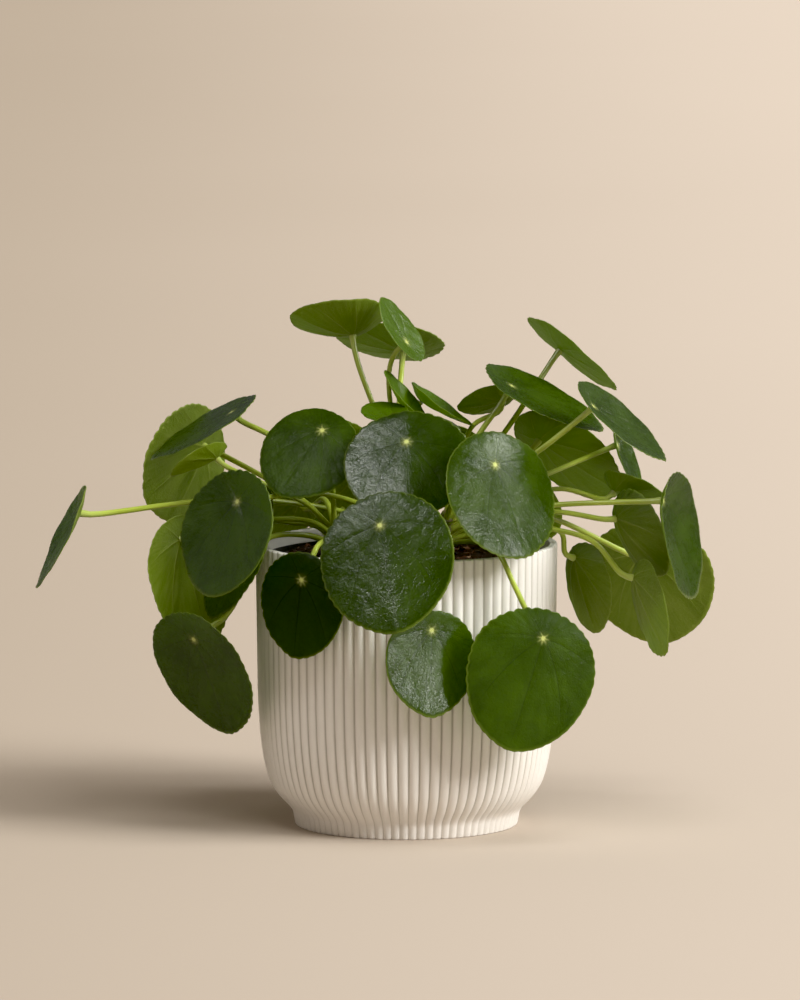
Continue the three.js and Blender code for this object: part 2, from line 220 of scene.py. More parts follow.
class ShaderBoard(NodeBoard):
    """The node tree of a material."""

    def __init__(self, name: str) -> None:
        """Makes an empty material.

        Args:
            name: its name.
        """
        self.material = bpy.data.materials.new(name)
        self.material.use_nodes = True
        self.material.node_tree.nodes.clear()
        super().__init__(self.material.node_tree)

    def place(self) -> Wire:
        """Object coordinates, in metres."""
        return self.add("ShaderNodeTexCoord", output="Object")

    def attribute(self, name: str, output: str = "Fac") -> Wire:
        """A value or vector that the mesh carries."""
        return self.add("ShaderNodeAttribute", {"attribute_name": name}, output=output)

    def parts(self, vector: Wire) -> list[Wire]:
        """The three numbers of a vector."""
        return self.wires(self.node("ShaderNodeSeparateXYZ", values={0: vector}), 0, 1, 2)

    def vector(self, x: Operand, y: Operand, z: Operand) -> Wire:
        """A vector from three numbers."""
        return self.add("ShaderNodeCombineXYZ", values={0: x, 1: y, 2: z})

    def stretched(self, vector: Wire, *scales: float) -> Wire:
        """The vector with each of its three numbers scaled on its own."""
        return self.vector(*(part * scale for part, scale in zip(self.parts(vector), scales)))

    def noise(
        self, vector: Wire, scale: float, detail: float = 3.0, rough: float = 0.5, warp: float = 0.0
    ) -> Wire:
        """Soft random values around a half."""
        values = {"Vector": vector, "Scale": scale, "Detail": detail, "Roughness": rough, "Distortion": warp}
        return self.add("ShaderNodeTexNoise", values=values)

    def cells(self, vector: Wire, scale: float, feature: str = "F1") -> Wire:
        """Distances in a field of random cells."""
        return self.add("ShaderNodeTexVoronoi", {"feature": feature}, {"Vector": vector, "Scale": scale})

    def ramp(self, value: Wire, *stops: tuple[float, Colour]) -> Wire:
        """Turns a value into a colour."""
        return self.add("ShaderNodeValToRGB", {"stops": stops}, {0: value})

    def mix(self, factor: Operand, first: Union[Wire, Colour], second: Union[Wire, Colour]) -> Wire:
        """Mixes two colours.

        Args:
            factor: 0 gives the first, 1 the second.
            first: a colour.
            second: a colour.

        Returns:
            The mixed colour.
        """
        first, second = (c if isinstance(c, Wire) else (*c, 1.0) for c in (first, second))
        return self.add("ShaderNodeMix", {"data_type": "RGBA"}, {0: factor, 6: first, 7: second}, 2)

    def bump(self, height: Wire, strength: float, distance: float, under: Optional[Wire] = None) -> Wire:
        """Turns a height into a normal.

        Args:
            height: the height, from 0 to about 1.
            strength: how much of it counts.
            distance: how high 1 is, in millimetres.
            under: the normal of coarser relief that this one lies on.

        Returns:
            The normal.
        """
        values: dict = {"Height": height, "Strength": strength, "Distance": distance * MM}
        if under is not None:
            values["Normal"] = under
        return self.add("ShaderNodeBump", values=values)

    def principled(
        self, colour: Wire, roughness: Operand, normal: Wire, fixed: Optional[dict] = None
    ) -> Wire:
        """Adds the main shader.

        Args:
            colour: feeds Base Color.
            roughness: feeds Roughness.
            normal: feeds Normal.
            fixed: other sockets' own values.

        Returns:
            The shader's output.
        """
        values = {"Base Color": colour, "Roughness": roughness, "Normal": normal, **(fixed or {})}
        return self.add("ShaderNodeBsdfPrincipled", values=values)

    def finish(self, shader: Wire) -> bpy.types.Material:
        """Links the shader to the output and returns the material."""
        self.node("ShaderNodeOutputMaterial", values={"Surface": shader})
        return self.material


# Finishes: a pattern's scale is per metre, or per millimetre where it reads a blade's own map


@dataclass(frozen=True)
class MattCeramic:
    """The planter's fired matt white body, finely specked, a little greyer deep in the grooves, which is
    painted shade.
    """

    name: str = "matt_white_ceramic"
    light: Colour = (0.84, 0.82, 0.785)
    warm: Colour = (0.79, 0.76, 0.715)
    # the specks' colour, also the painted shade deep in the grooves
    speck_and_groove_shade: Colour = (0.38, 0.345, 0.29)
    roughness: tuple[float, float] = (0.46, 0.6)
    patch_scale: float = 9.0
    slip_scale: float = 140.0
    speck_scale: float = 420.0
    grain_scale: float = 900.0
    # how far down a groove the painted shade begins and is full
    groove_shade_depth: tuple[float, float] = (0.45, 0.95)
    ior: float = 1.45

    def build(self) -> bpy.types.Material:
        """Makes the material; it reads the attribute groove.

        Returns:
            The material.
        """
        board = ShaderBoard(self.name)
        place = board.place()
        groove = board.attribute("groove")
        patches = board.noise(place, self.patch_scale, 4.0, 0.55)
        grain = board.noise(place, self.grain_scale, 3.0, 0.6)
        specks = board.cells(place, self.speck_scale).span(0.0, 0.09, 1.0, 0.0)
        body = board.mix(patches.span(0.35, 0.7), self.light, self.warm)
        body = board.mix(specks * board.noise(place, 60.0).span(0.52, 0.62) * 0.35, body, self.speck_and_groove_shade)
        # painted shade: the grooves are darkened towards the speck colour
        body = board.mix((groove.span(*self.groove_shade_depth) * (patches * 0.5 + 0.5)).least(1.0), body, self.speck_and_groove_shade)
        rough = grain.span(*USUAL, *self.roughness)
        slip = board.bump(board.noise(place, self.slip_scale, 4.0, 0.6), 0.25, 0.25)
        normal = board.bump(grain, 0.22, 0.08, slip)
        return board.finish(board.principled(body, rough, normal, {"IOR": self.ior}))


@dataclass(frozen=True)
class GrowerPlastic:
    """Thin black plastic, scuffed, with specks of dried soil."""

    name: str = "black_grower_plastic"
    black: Colour = (0.010, 0.010, 0.011)
    worn: Colour = (0.045, 0.043, 0.042)
    soil: Colour = (0.075, 0.048, 0.030)
    roughness: tuple[float, float] = (0.34, 0.6)
    scuff_scales: tuple[float, ...] = (60, 60, 600)
    crumb_scale: float = 260.0
    ior: float = 1.5

    def build(self) -> bpy.types.Material:
        """Makes the material.

        Returns:
            The material.
        """
        board = ShaderBoard(self.name)
        place = board.place()
        scuffs = board.noise(board.stretched(place, *self.scuff_scales), 1.0, 4.0, 0.7)
        crumbs = board.noise(place, self.crumb_scale, 4.0, 0.7)
        body = board.mix(scuffs.span(0.5, 0.75), self.black, self.worn)
        body = board.mix(crumbs.span(0.6, 0.7) * 0.8, body, self.soil)
        rough = scuffs.span(*USUAL, *self.roughness)
        normal = board.bump(scuffs, 0.2, 0.1, board.bump(crumbs.span(0.58, 0.7), 0.5, 0.4))
        return board.finish(board.principled(body, rough, normal, {"IOR": self.ior}))


@dataclass(frozen=True)
class PottingSoil:
    """Moist peat: near black, with brown fibres and pale specks."""

    name: str = "potting_soil"
    wet: Colour = (0.010, 0.0065, 0.004)
    brown: Colour = (0.058, 0.030, 0.016)
    fibre: Colour = (0.16, 0.085, 0.045)
    speck: Colour = (0.48, 0.42, 0.34)
    roughness: tuple[float, float] = (0.78, 1.0)
    clod_scale: float = 120.0
    fibre_scales: tuple[float, ...] = (900, 160, 500)
    grit_scale: float = 330.0
    ior: float = 1.4

    def build(self) -> bpy.types.Material:
        """Makes the material.

        Returns:
            The material.
        """
        board = ShaderBoard(self.name)
        place = board.place()
        clods = board.noise(place, self.clod_scale, 6.0, 0.7)
        fibres = board.noise(board.stretched(place, *self.fibre_scales), 1.0, 3.0, 0.6, 1.2)
        grit = board.cells(place, self.grit_scale)
        body = board.mix(clods.span(0.35, 0.7), self.wet, self.brown)
        body = board.mix(fibres.span(0.6, 0.72) * 0.7, body, self.fibre)
        body = board.mix(grit.span(0.0, 0.12, 1.0, 0.0) * clods.span(0.5, 0.6), body, self.speck)
        rough = clods.span(*USUAL, *self.roughness)
        normal = board.bump(clods, 0.8, 2.0, board.bump(grit, 0.5, 0.6))
        return board.finish(board.principled(body, rough, normal, {"IOR": self.ior}))


@dataclass(frozen=True)
class BarkFlakes:
    """Chips of composted bark and coir, each in a tone of its own."""

    name: str = "bark_flakes"
    tones: tuple[tuple[float, Colour], ...] = (
        (0.0, (0.012, 0.008, 0.006)),
        (0.35, (0.035, 0.018, 0.011)),
        (0.62, (0.105, 0.042, 0.022)),
        (0.85, (0.20, 0.085, 0.040)),
        (1.0, (0.33, 0.22, 0.13)),
    )
    roughness: tuple[float, float] = (0.65, 0.95)
    grain_scale: float = 700.0
    ior: float = 1.45

    def build(self) -> bpy.types.Material:
        """Makes the material; it reads the attribute flake_tone.

        Returns:
            The material.
        """
        board = ShaderBoard(self.name)
        place = board.place()
        tone = board.attribute("flake_tone")
        grain = board.noise(place, self.grain_scale, 4.0, 0.7, 0.8)
        body = board.ramp((tone + (grain - 0.5) * 0.35).most(0.0).least(1.0), *self.tones)
        rough = grain.span(*USUAL, *self.roughness)
        return board.finish(board.principled(body, rough, board.bump(grain, 0.6, 0.3), {"IOR": self.ior}))


@dataclass(frozen=True)
class StalkSkin:
    """The smooth juicy skin of a leaf stalk: lime green, streaked along its length."""

    name: str = "stalk_skin"
    lime: Colour = (0.42, 0.51, 0.075)
    olive: Colour = (0.27, 0.345, 0.033)
    pale: Colour = (0.47, 0.56, 0.16)
    blush: Colour = (0.16, 0.095, 0.03)
    roughness: tuple[float, float] = (0.32, 0.46)
    mottle_scale: float = 160.0
    dot_scale: float = 900.0
    ior: float = 1.42
    flesh: float = 0.22
    flesh_radius: tuple[float, float, float] = (0.9, 1.2, 0.25)
    flesh_depth: float = 1.3

    def build(self) -> bpy.types.Material:
        """Makes the material; it reads the attributes stalk_along and stalk_turn.

        Returns:
            The material.
        """
        board = ShaderBoard(self.name)
        place = board.place()
        along = board.attribute("stalk_along")
        turn = board.attribute("stalk_turn")
        streaks = board.noise(board.vector(turn * 9.0, along * 5.0, turn * 3.0), 1.0, 3.0, 0.6)
        mottle = board.noise(place, self.mottle_scale, 3.0, 0.6)
        dots = board.cells(place, self.dot_scale).span(0.0, 0.22, 1.0, 0.0)
        body = board.mix(streaks.span(*USUAL), self.olive, self.lime)
        body = board.mix(along.span(0.86, 1.0) * 0.6, body, self.pale)
        body = board.mix(along.span(0.0, 0.16, 0.65, 0.0) * mottle.span(0.35, 0.65), body, self.blush)
        body = board.mix(dots * 0.12, body, self.pale)
        normal = board.bump(streaks, 0.25, 0.25, board.bump(mottle, 0.2, 0.2))
        fixed = {
            "IOR": self.ior,
            "Subsurface Weight": self.flesh,
            "Subsurface Radius": self.flesh_radius,
            "Subsurface Scale": self.flesh_depth * MM,
        }
        return board.finish(board.principled(body, mottle.span(*USUAL, *self.roughness), normal, fixed))


@dataclass(frozen=True)
class StemBark:
    """The short woody stem: green-brown, ringed by old leaf scars; its top is greener than its foot.

    The height where it turns green is in metres, as Object coordinates are.
    """

    name: str = "stem_bark"
    green: Colour = (0.13, 0.155, 0.035)
    brown: Colour = (0.085, 0.048, 0.022)
    scar: Colour = (0.24, 0.165, 0.085)
    roughness: tuple[float, float] = (0.5, 0.8)
    bark_scales: tuple[float, ...] = (420, 420, 90)
    turns_green: float = 0.185
    browning: float = 9.0
    ior: float = 1.45

    def build(self) -> bpy.types.Material:
        """Makes the material; it reads the attribute scar.

        Returns:
            The material.
        """
        board = ShaderBoard(self.name)
        place = board.place()
        height = board.parts(place)[2]
        scar = board.attribute("scar")
        bark = board.noise(board.stretched(place, *self.bark_scales), 1.0, 4.0, 0.65)
        age = (bark + (height - self.turns_green) * -self.browning).span(0.3, 0.75)
        body = board.mix(age, self.green, self.brown)
        body = board.mix(scar * 0.8, body, self.scar)
        normal = board.bump(bark, 0.6, 0.5)
        rough = bark.span(*USUAL, *self.roughness)
        return board.finish(board.principled(body, rough, normal, {"IOR": self.ior}))


@dataclass(frozen=True)
class Vein:
    """A main vein, the same on both halves of a blade, as the finish draws it and the mesh carves it.

    Its angle is measured at the stalk's point from the tip, in radians; widths are millimetres.
    """

    angle: float
    bend: float
    drawn: float
    carved: float
    strength: float


VEINS = (
    Vein(0.0, 0.0, 1.15, 1.9, 1),
    Vein(0.80, 0.30, 1.0, 1.7, 0.85),
    Vein(1.55, 0.22, 0.75, 1.3, 0.6),
    Vein(2.45, 0.10, 0.6, 1.1, 0.45),
)


@dataclass(frozen=True)
class LeafSkin:
    """A pilea blade: dark, waxy and finely puckered above, olive and streaked beneath, pale at its dot."""

    name: str = "pilea_leaf"
    # painted shade: the near black that shaded blades are darkened towards
    painted_shade: Colour = (0.003, 0.006, 0.0008)
    deep: Colour = (0.020, 0.037, 0.0027)
    green: Colour = (0.046, 0.082, 0.0055)
    fresh: Colour = (0.095, 0.170, 0.0060)
    under: Colour = (0.145, 0.218, 0.0100)
    under_pale: Colour = (0.235, 0.305, 0.046)
    vein_above: Colour = (0.080, 0.120, 0.018)
    vein_below: Colour = (0.34, 0.41, 0.070)
    dot: Colour = (0.66, 0.72, 0.22)
    edge: Colour = (0.20, 0.26, 0.045)
    glow: Colour = (0.39, 0.58, 0.014)
    through: float = 0.37
    gloss: tuple[float, float] = (0.23, 0.33)
    dull: tuple[float, float] = (0.5, 0.62)
    waxy_level: float = 0.42
    bloom_level: float = 0.10
    ior: float = 1.46
    blotch_scale: float = 0.045
    pebble_scale: float = 0.55
    crease_scale: float = 0.36
    net_scale: float = 0.33
    dot_scale: float = 0.19

    def veins(self, board: ShaderBoard, side: Wire, along: Wire, share: Wire) -> Wire:
        """Draws the main veins.

        Args:
            board: the material's board.
            side: how far a point is across the blade.
            along: how far it is towards the tip.
            share: how near it is to the rim, 1 on it.

        Returns:
            How near a point is to one of the veins, 1 on its middle line.
        """
        reach = (side * side + along * along) ** 0.5
        swing = abs(side).angle_to(along)
        shown: Optional[Wire] = None
        for vein in VEINS:
            gap = abs(swing - vein.angle + share * vein.bend) * reach
            near = (gap / (vein.drawn * (1.15 - share * 0.85))).span(0.0, 1.0, 1.0, 0.0)
            near = near * share.span(0.70, 0.98, 1.0, 0.15)
            shown = near if shown is None else shown.most(near)
        return shown

    def build(self) -> bpy.types.Material:
        """Makes the material; it reads the attributes blade, upper, leaf_tone, leaf_young and leaf_bloom.

        Returns:
            The material.
        """
        board = ShaderBoard(self.name)
        side, along, share = board.parts(board.attribute("blade", "Vector"))
        upper = board.attribute("upper")
        tone = board.attribute("leaf_tone")
        youth_and_shade = board.attribute("leaf_young")
        bloom = board.attribute("leaf_bloom")
        above = upper.span(0.45, 0.55)
        swing = abs(side).angle_to(along)
        centre = (side * side + along * along) ** 0.5
        flat = board.vector(side, along, tone * 40.0)
        radial = board.vector(swing * 15.0, share * 2.4, tone * 23.0)
        streaks = board.noise(radial, 1.0, 4.0, 0.6, 0.4)
        blotch = board.noise(flat, self.blotch_scale, 4.0, 0.55)
        pebble = board.cells(flat, self.pebble_scale, "SMOOTH_F1")
        crease = board.noise(flat, self.crease_scale, 3.0, 0.55, 1.0)
        wrinkle = board.noise(board.vector(swing * 17.0, centre * 0.26, tone * 11.0), 1.0, 3.0, 0.55, 1.6)
        net = board.cells(flat, self.net_scale, "DISTANCE_TO_EDGE").span(0.0, 0.09, 1.0, 0.0)
        veins = self.veins(board, side, along, share)
        dots = board.cells(flat, self.dot_scale).span(0.10, 0.24, 1.0, 0.0) * share.span(0.80, 0.93)
        lip = share.span(0.968, 1.0)
        # the upper face
        face = board.mix((blotch * 0.7 + streaks * 0.3).span(0.32, 0.68), self.deep, self.green)
        face = board.mix(youth_and_shade.most(0.0), face, self.fresh)
        # painted shade: a negative value darkens the upper face towards near black
        face = board.mix((youth_and_shade * -1.0).most(0.0), face, self.painted_shade)
        face = board.mix(net * 0.10, face, self.vein_above)
        # painted shade: the carved vein creases are darkened
        face = board.mix(veins * 0.22, face, self.deep)
        face = board.mix(centre.span(1.2, 5.5, 0.5, 0.0) * (veins * 0.8 + 0.2), face, self.dot)
        face = board.mix(lip * 0.6, face, self.edge)
        face = board.mix(centre.span(0.8, 2.0, 1.0, 0.0), face, self.dot)
        # the underside
        back = board.mix((streaks * 0.65 + blotch * 0.35).span(0.34, 0.66), self.under, self.under_pale)
        back = board.mix(youth_and_shade.most(0.0) * 0.5, back, self.glow)
        back = board.mix(net * 0.14, back, self.vein_below)
        back = board.mix(veins * 0.6, back, self.vein_below)
        back = board.mix(dots * 0.85, back, self.vein_below)
        back = board.mix(lip * 0.7, back, self.vein_below)
        colour = board.mix(above, back, face)
        gloss = (blotch * 0.5 + crease * 0.5).span(*USUAL, *self.gloss)
        dull = streaks.span(*USUAL, *self.dull)
        rough = above * gloss + (1 - above) * dull
        relief = pebble * 0.22 + crease * 0.9 + wrinkle * 0.8 - net * (above * 0.3 - 0.25)
        ribs = veins * (1 - above * 1.3)
        normal = board.bump(ribs, 0.4, 0.35, board.bump(relief, 0.55, 0.44))
        waxy = {"IOR": self.ior, "Specular IOR Level": self.waxy_level}
        skin = board.principled(colour, rough, normal, waxy)
        matt = board.principled(colour, dull, normal, {**waxy, "Specular IOR Level": self.bloom_level})
        skin = board.add("ShaderNodeMixShader", values={0: bloom * above, 1: skin, 2: matt})
        light = board.add("ShaderNodeBsdfTranslucent", values={"Color": (*self.glow, 1.0), "Normal": normal})
        passed = (1 - veins * 0.35 - net * 0.12) * self.through
        return board.finish(board.add("ShaderNodeMixShader", values={0: passed, 1: skin, 2: light}))


@dataclass(frozen=True)
class StudioPaper:
    """The plain warm paper that the pot stands on, a little darker towards its left side, which is painted
    shade of the light falling off.
    """

    name: str = "studio_paper"
    light: Colour = (0.620, 0.542, 0.465)
    # the left side's colour: painted shade
    shade: Colour = (0.405, 0.342, 0.274)
    roughness: tuple[float, float] = (0.85, 0.95)
    fade: float = 0.7
    cloud_scale: float = 0.5
    tooth_scale: float = 420.0

    def build(self) -> bpy.types.Material:
        """Makes the material.

        Returns:
            The material.
        """
        board = ShaderBoard(self.name)
        place = board.place()
        across = board.parts(place)[0]
        cloud = board.noise(place, self.cloud_scale, 2.0)
        tooth = board.noise(place, self.tooth_scale, 3.0, 0.6)
        # painted shade: the paper darkens towards its left side as the light falls off
        body = board.mix((across + cloud * 0.2 - 0.1).span(-self.fade, self.fade), self.shade, self.light)
        rough = tooth.span(*USUAL, *self.roughness)
        normal = board.bump(tooth, 0.1, 0.2)
        return board.finish(board.principled(body, rough, normal, {"Specular IOR Level": 0.0}))


# Mesh making


@dataclass
class Sheet:
    """Points and faces in millimetres, with the values that the finishes read."""

    points: list = field(default_factory=list)
    faces: list = field(default_factory=list)
    values: dict = field(default_factory=dict)
    finish: list = field(default_factory=list)
    count: int = 0

    def add_points(self, points: np.ndarray, **values: Any) -> int:
        """Adds points, with a number or one number a point for each named value.

        Args:
            points: an array of rows of three.
            **values: a name to a number, a list or rows of three.

        Returns:
            The number of the first new point.
        """
        first = self.count
        total = len(points)
        self.points.append(np.asarray(points, float).reshape(-1, 3))
        for name, value in values.items():
            shape = (total, 3) if np.ndim(value) == 2 else (total,)
            self.values.setdefault(name, []).append((first, np.broadcast_to(np.asarray(value, float), shape)))
        self.count += total
        return first

    def add_faces(self, faces: Sequence, finish: int = 0) -> None:
        """Adds faces that have the same number of corners and one finish.

        Args:
            faces: rows of point numbers, counter-clockwise as seen from outside.
            finish: which finish they take.
        """
        faces = np.asarray(faces, int)
        if faces.size:
            self.faces.append(faces)
            self.finish.append(np.full(len(faces), finish))

    def add_grid(self, rings: np.ndarray, around: bool, finish: int = 0, **values: Any) -> int:
        """Adds rows of points and the quads between them.

        Args:
            rings: an array of rows, columns and three.
            around: whether the last column meets the first.
            finish: which finish the faces take.
            **values: as in add_points, with a row and column first.

        Returns:
            The number of the first new point.
        """
        rows, columns = rings.shape[:2]
        flat = {name: np.reshape(value, rows * columns) for name, value in values.items()}
        first = self.add_points(rings.reshape(-1, 3), **flat)
        self.add_faces(grid_faces(first, rows, columns, around), finish)
        return first

    def add_cap(
        self, middle: Sequence, first: int, columns: int, finish: int = 0, flip: bool = False, **values: Any
    ) -> None:
        """Closes a ring of points with a fan round a middle point.

        Args:
            middle: the middle point.
            first: the ring's first point.
            columns: how many points the ring has.
            finish: which finish the faces take.
            flip: whether they face down, for a ring that runs counter-clockwise as seen from above.
            **values: the middle point's own values.
        """
        centre = self.add_points(np.array([middle], float), **values)
        self.add_faces(fan_faces(centre, first, columns, flip), finish)

    def build(self, name: str, *finishes: bpy.types.Material) -> bpy.types.Object:
        """Makes the object, in metres, smooth shaded.

        Args:
            name: the piece's name.
            *finishes: its materials, in slot order.

        Returns:
            The new object, at the origin.
        """
        points = np.concatenate(self.points) * MM
        corners = np.concatenate([f.ravel() for f in self.faces])
        sizes = np.concatenate([np.full(len(f), f.shape[1]) for f in self.faces])
        mesh = bpy.data.meshes.new(name)
        mesh.vertices.add(len(points))
        mesh.vertices.foreach_set("co", points.astype(np.float32).ravel())
        mesh.loops.add(len(corners))
        mesh.loops.foreach_set("vertex_index", corners.astype(np.int32))
        mesh.polygons.add(len(sizes))
        mesh.polygons.foreach_set("loop_start", np.concatenate([[0], np.cumsum(sizes)[:-1]]).astype(np.int32))
        mesh.polygons.foreach_set("material_index", np.concatenate(self.finish).astype(np.int32))
        mesh.polygons.foreach_set("use_smooth", np.ones(len(sizes), bool))
        mesh.update(calc_edges=True)
        mesh.validate()
        for value, blocks in self.values.items():
            wide = blocks[0][1].ndim == 2
            filled = np.zeros((self.count, 3) if wide else self.count)
            for first, block in blocks:
                filled[first : first + len(block)] = block
            kind = "FLOAT_VECTOR" if wide else "FLOAT"
            layer = mesh.attributes.new(value, kind, "POINT")
            layer.data.foreach_set("vector" if wide else "value", filled.astype(np.float32).ravel())
        for material in finishes:
            mesh.materials.append(material)
        return link_object(name, mesh)


def link_object(name: str, mesh: bpy.types.Mesh) -> bpy.types.Object:
    """Puts a mesh in the scene.

    Args:
        name: the new object's name.
        mesh: its mesh.

    Returns:
        The object, at the origin.
    """
    made = bpy.data.objects.new(name, mesh)
    bpy.context.scene.collection.objects.link(made)
    return made


def grid_faces(first: int, rows: int, columns: int, around: bool) -> np.ndarray:
    """Makes the quads of a grid of points.

    Args:
        first: the grid's first point.
        rows: how many rows it has; they run up.
        columns: how many points a row has; they run round counter-clockwise.
        around: whether the last column meets the first.

    Returns:
        Rows of four point numbers.
    """
    wide = columns if around else columns - 1
    row, column = np.meshgrid(np.arange(rows - 1), np.arange(wide), indexing="ij")
    here = first + row * columns + column
    beside = first + row * columns + (column + 1) % columns
    return np.stack([here, beside, beside + columns, here + columns], axis=-1).reshape(-1, 4)


def fan_faces(centre: int, first: int, columns: int, flip: bool = False) -> np.ndarray:
    """Makes the triangles from a centre point to a ring that runs counter-clockwise.

    Args:
        centre: the centre point.
        first: the ring's first point.
        columns: how many points it has.
        flip: whether the triangles are turned over.

    Returns:
        Rows of three point numbers.
    """
    here = first + np.arange(columns)
    beside = first + (np.arange(columns) + 1) % columns
    middle = np.full(columns, centre)
    return np.stack([middle, beside, here] if flip else [middle, here, beside], axis=-1)


def join_rings(inner: int, outer: int, columns: int) -> np.ndarray:
    """Makes the quads from one ring of points out to the next.

    Args:
        inner: the inner ring's first point.
        outer: the outer ring's first point.
        columns: how many points each has.

    Returns:
        Rows of four point numbers.
    """
    here = np.arange(columns)
    beside = (here + 1) % columns
    return np.stack([inner + here, outer + here, outer + beside, inner + beside], axis=-1)


def round_angles(count: int) -> np.ndarray:
    """That many angles at even steps of a full turn."""
    return np.arange(count) / count * TURN


def turned(radius: np.ndarray, angles: np.ndarray, heights: Any) -> np.ndarray:
    """Points at those distances, angles and heights round the upright axis."""
    return np.stack(np.broadcast_arrays(radius * np.cos(angles), radius * np.sin(angles), heights), axis=-1)


def ease(values: np.ndarray, low: float, high: float) -> np.ndarray:
    """A smooth step from 0 at low to 1 at high."""
    share = np.clip((values - low) / (high - low), 0, 1)
    return share * share * (3 - 2 * share)


def unit(vector: np.ndarray) -> np.ndarray:
    """The vector at length 1."""
    return vector / np.linalg.norm(vector)


def bezier(a: Sequence, b: Sequence, c: Sequence, d: Sequence, steps: int) -> np.ndarray:
    """Runs a cubic curve.

    Args:
        a: its start.
        b: the point that it leaves towards.
        c: the point that it comes from at its end.
        d: its end.
        steps: how many steps it takes.

    Returns:
        Its points, both ends included.
    """
    t = np.linspace(0, 1, steps + 1)[:, None]
    a, b, c, d = (np.asarray(p, float) for p in (a, b, c, d))
    return a * (1 - t) ** 3 + 3 * b * t * (1 - t) ** 2 + 3 * c * t**2 * (1 - t) + d * t**3


def spline(points: Sequence, steps: int) -> np.ndarray:
    """Points on a centripetal Catmull-Rom curve through the given ones, as the part's source runs it.

    Args:
        points: the points that it goes through.
        steps: how many steps each stretch takes.

    Returns:
        Rows of x, y and z.
    """
    knots = [np.asarray(p, float) for p in points]
    knots = [2 * knots[0] - knots[1], *knots, 2 * knots[-1] - knots[-2]]
    rows = []
    for p0, p1, p2, p3 in zip(knots, knots[1:], knots[2:], knots[3:]):
        d0, d1, d2 = (max(np.linalg.norm(b - a) ** 0.5, 1e-3) for a, b in ((p0, p1), (p1, p2), (p2, p3)))
        start = ((p1 - p0) / d0 - (p2 - p0) / (d0 + d1) + (p2 - p1) / d1) * d1
        leave = ((p2 - p1) / d1 - (p3 - p1) / (d1 + d2) + (p3 - p2) / d2) * d1
        square = -3 * p1 + 3 * p2 - 2 * start - leave
        cube = 2 * p1 - 2 * p2 + start + leave
        rows += [p1 + start * t + square * t**2 + cube * t**3 for t in np.arange(steps) / steps]
    return np.array([*rows, knots[-2]])


def evenly(points: np.ndarray, count: int) -> np.ndarray:
    """Runs the same line with points at even distances.

    Args:
        points: rows of x, y and z.
        count: how many points the new line has.

    Returns:
        The new line's points.
    """
    lengths = np.concatenate([[0], np.cumsum(np.linalg.norm(np.diff(points, axis=0), axis=1))])
    marks = np.linspace(0, lengths[-1], count)
    return np.stack([np.interp(marks, lengths, points[:, k]) for k in range(3)], axis=1)


def settle(piece: bpy.types.Object, slot: Slot, *nodes: str) -> None:
    """Makes a piece ride and stand for its nodes, and reports it.

    Args:
        piece: the finished object.
        slot: the record's slot of its finish; not used.
        *nodes: the CAD nodes that it stands for.
    """
    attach(piece, "root")
    if nodes:
        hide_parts(*nodes)
    triangles = sum(len(p.vertices) - 2 for p in piece.data.polygons)
    LOG.info("%s: %d triangles, for %s", piece.name, triangles, ", ".join(nodes) or "itself")


# Planter, growing pot and soil


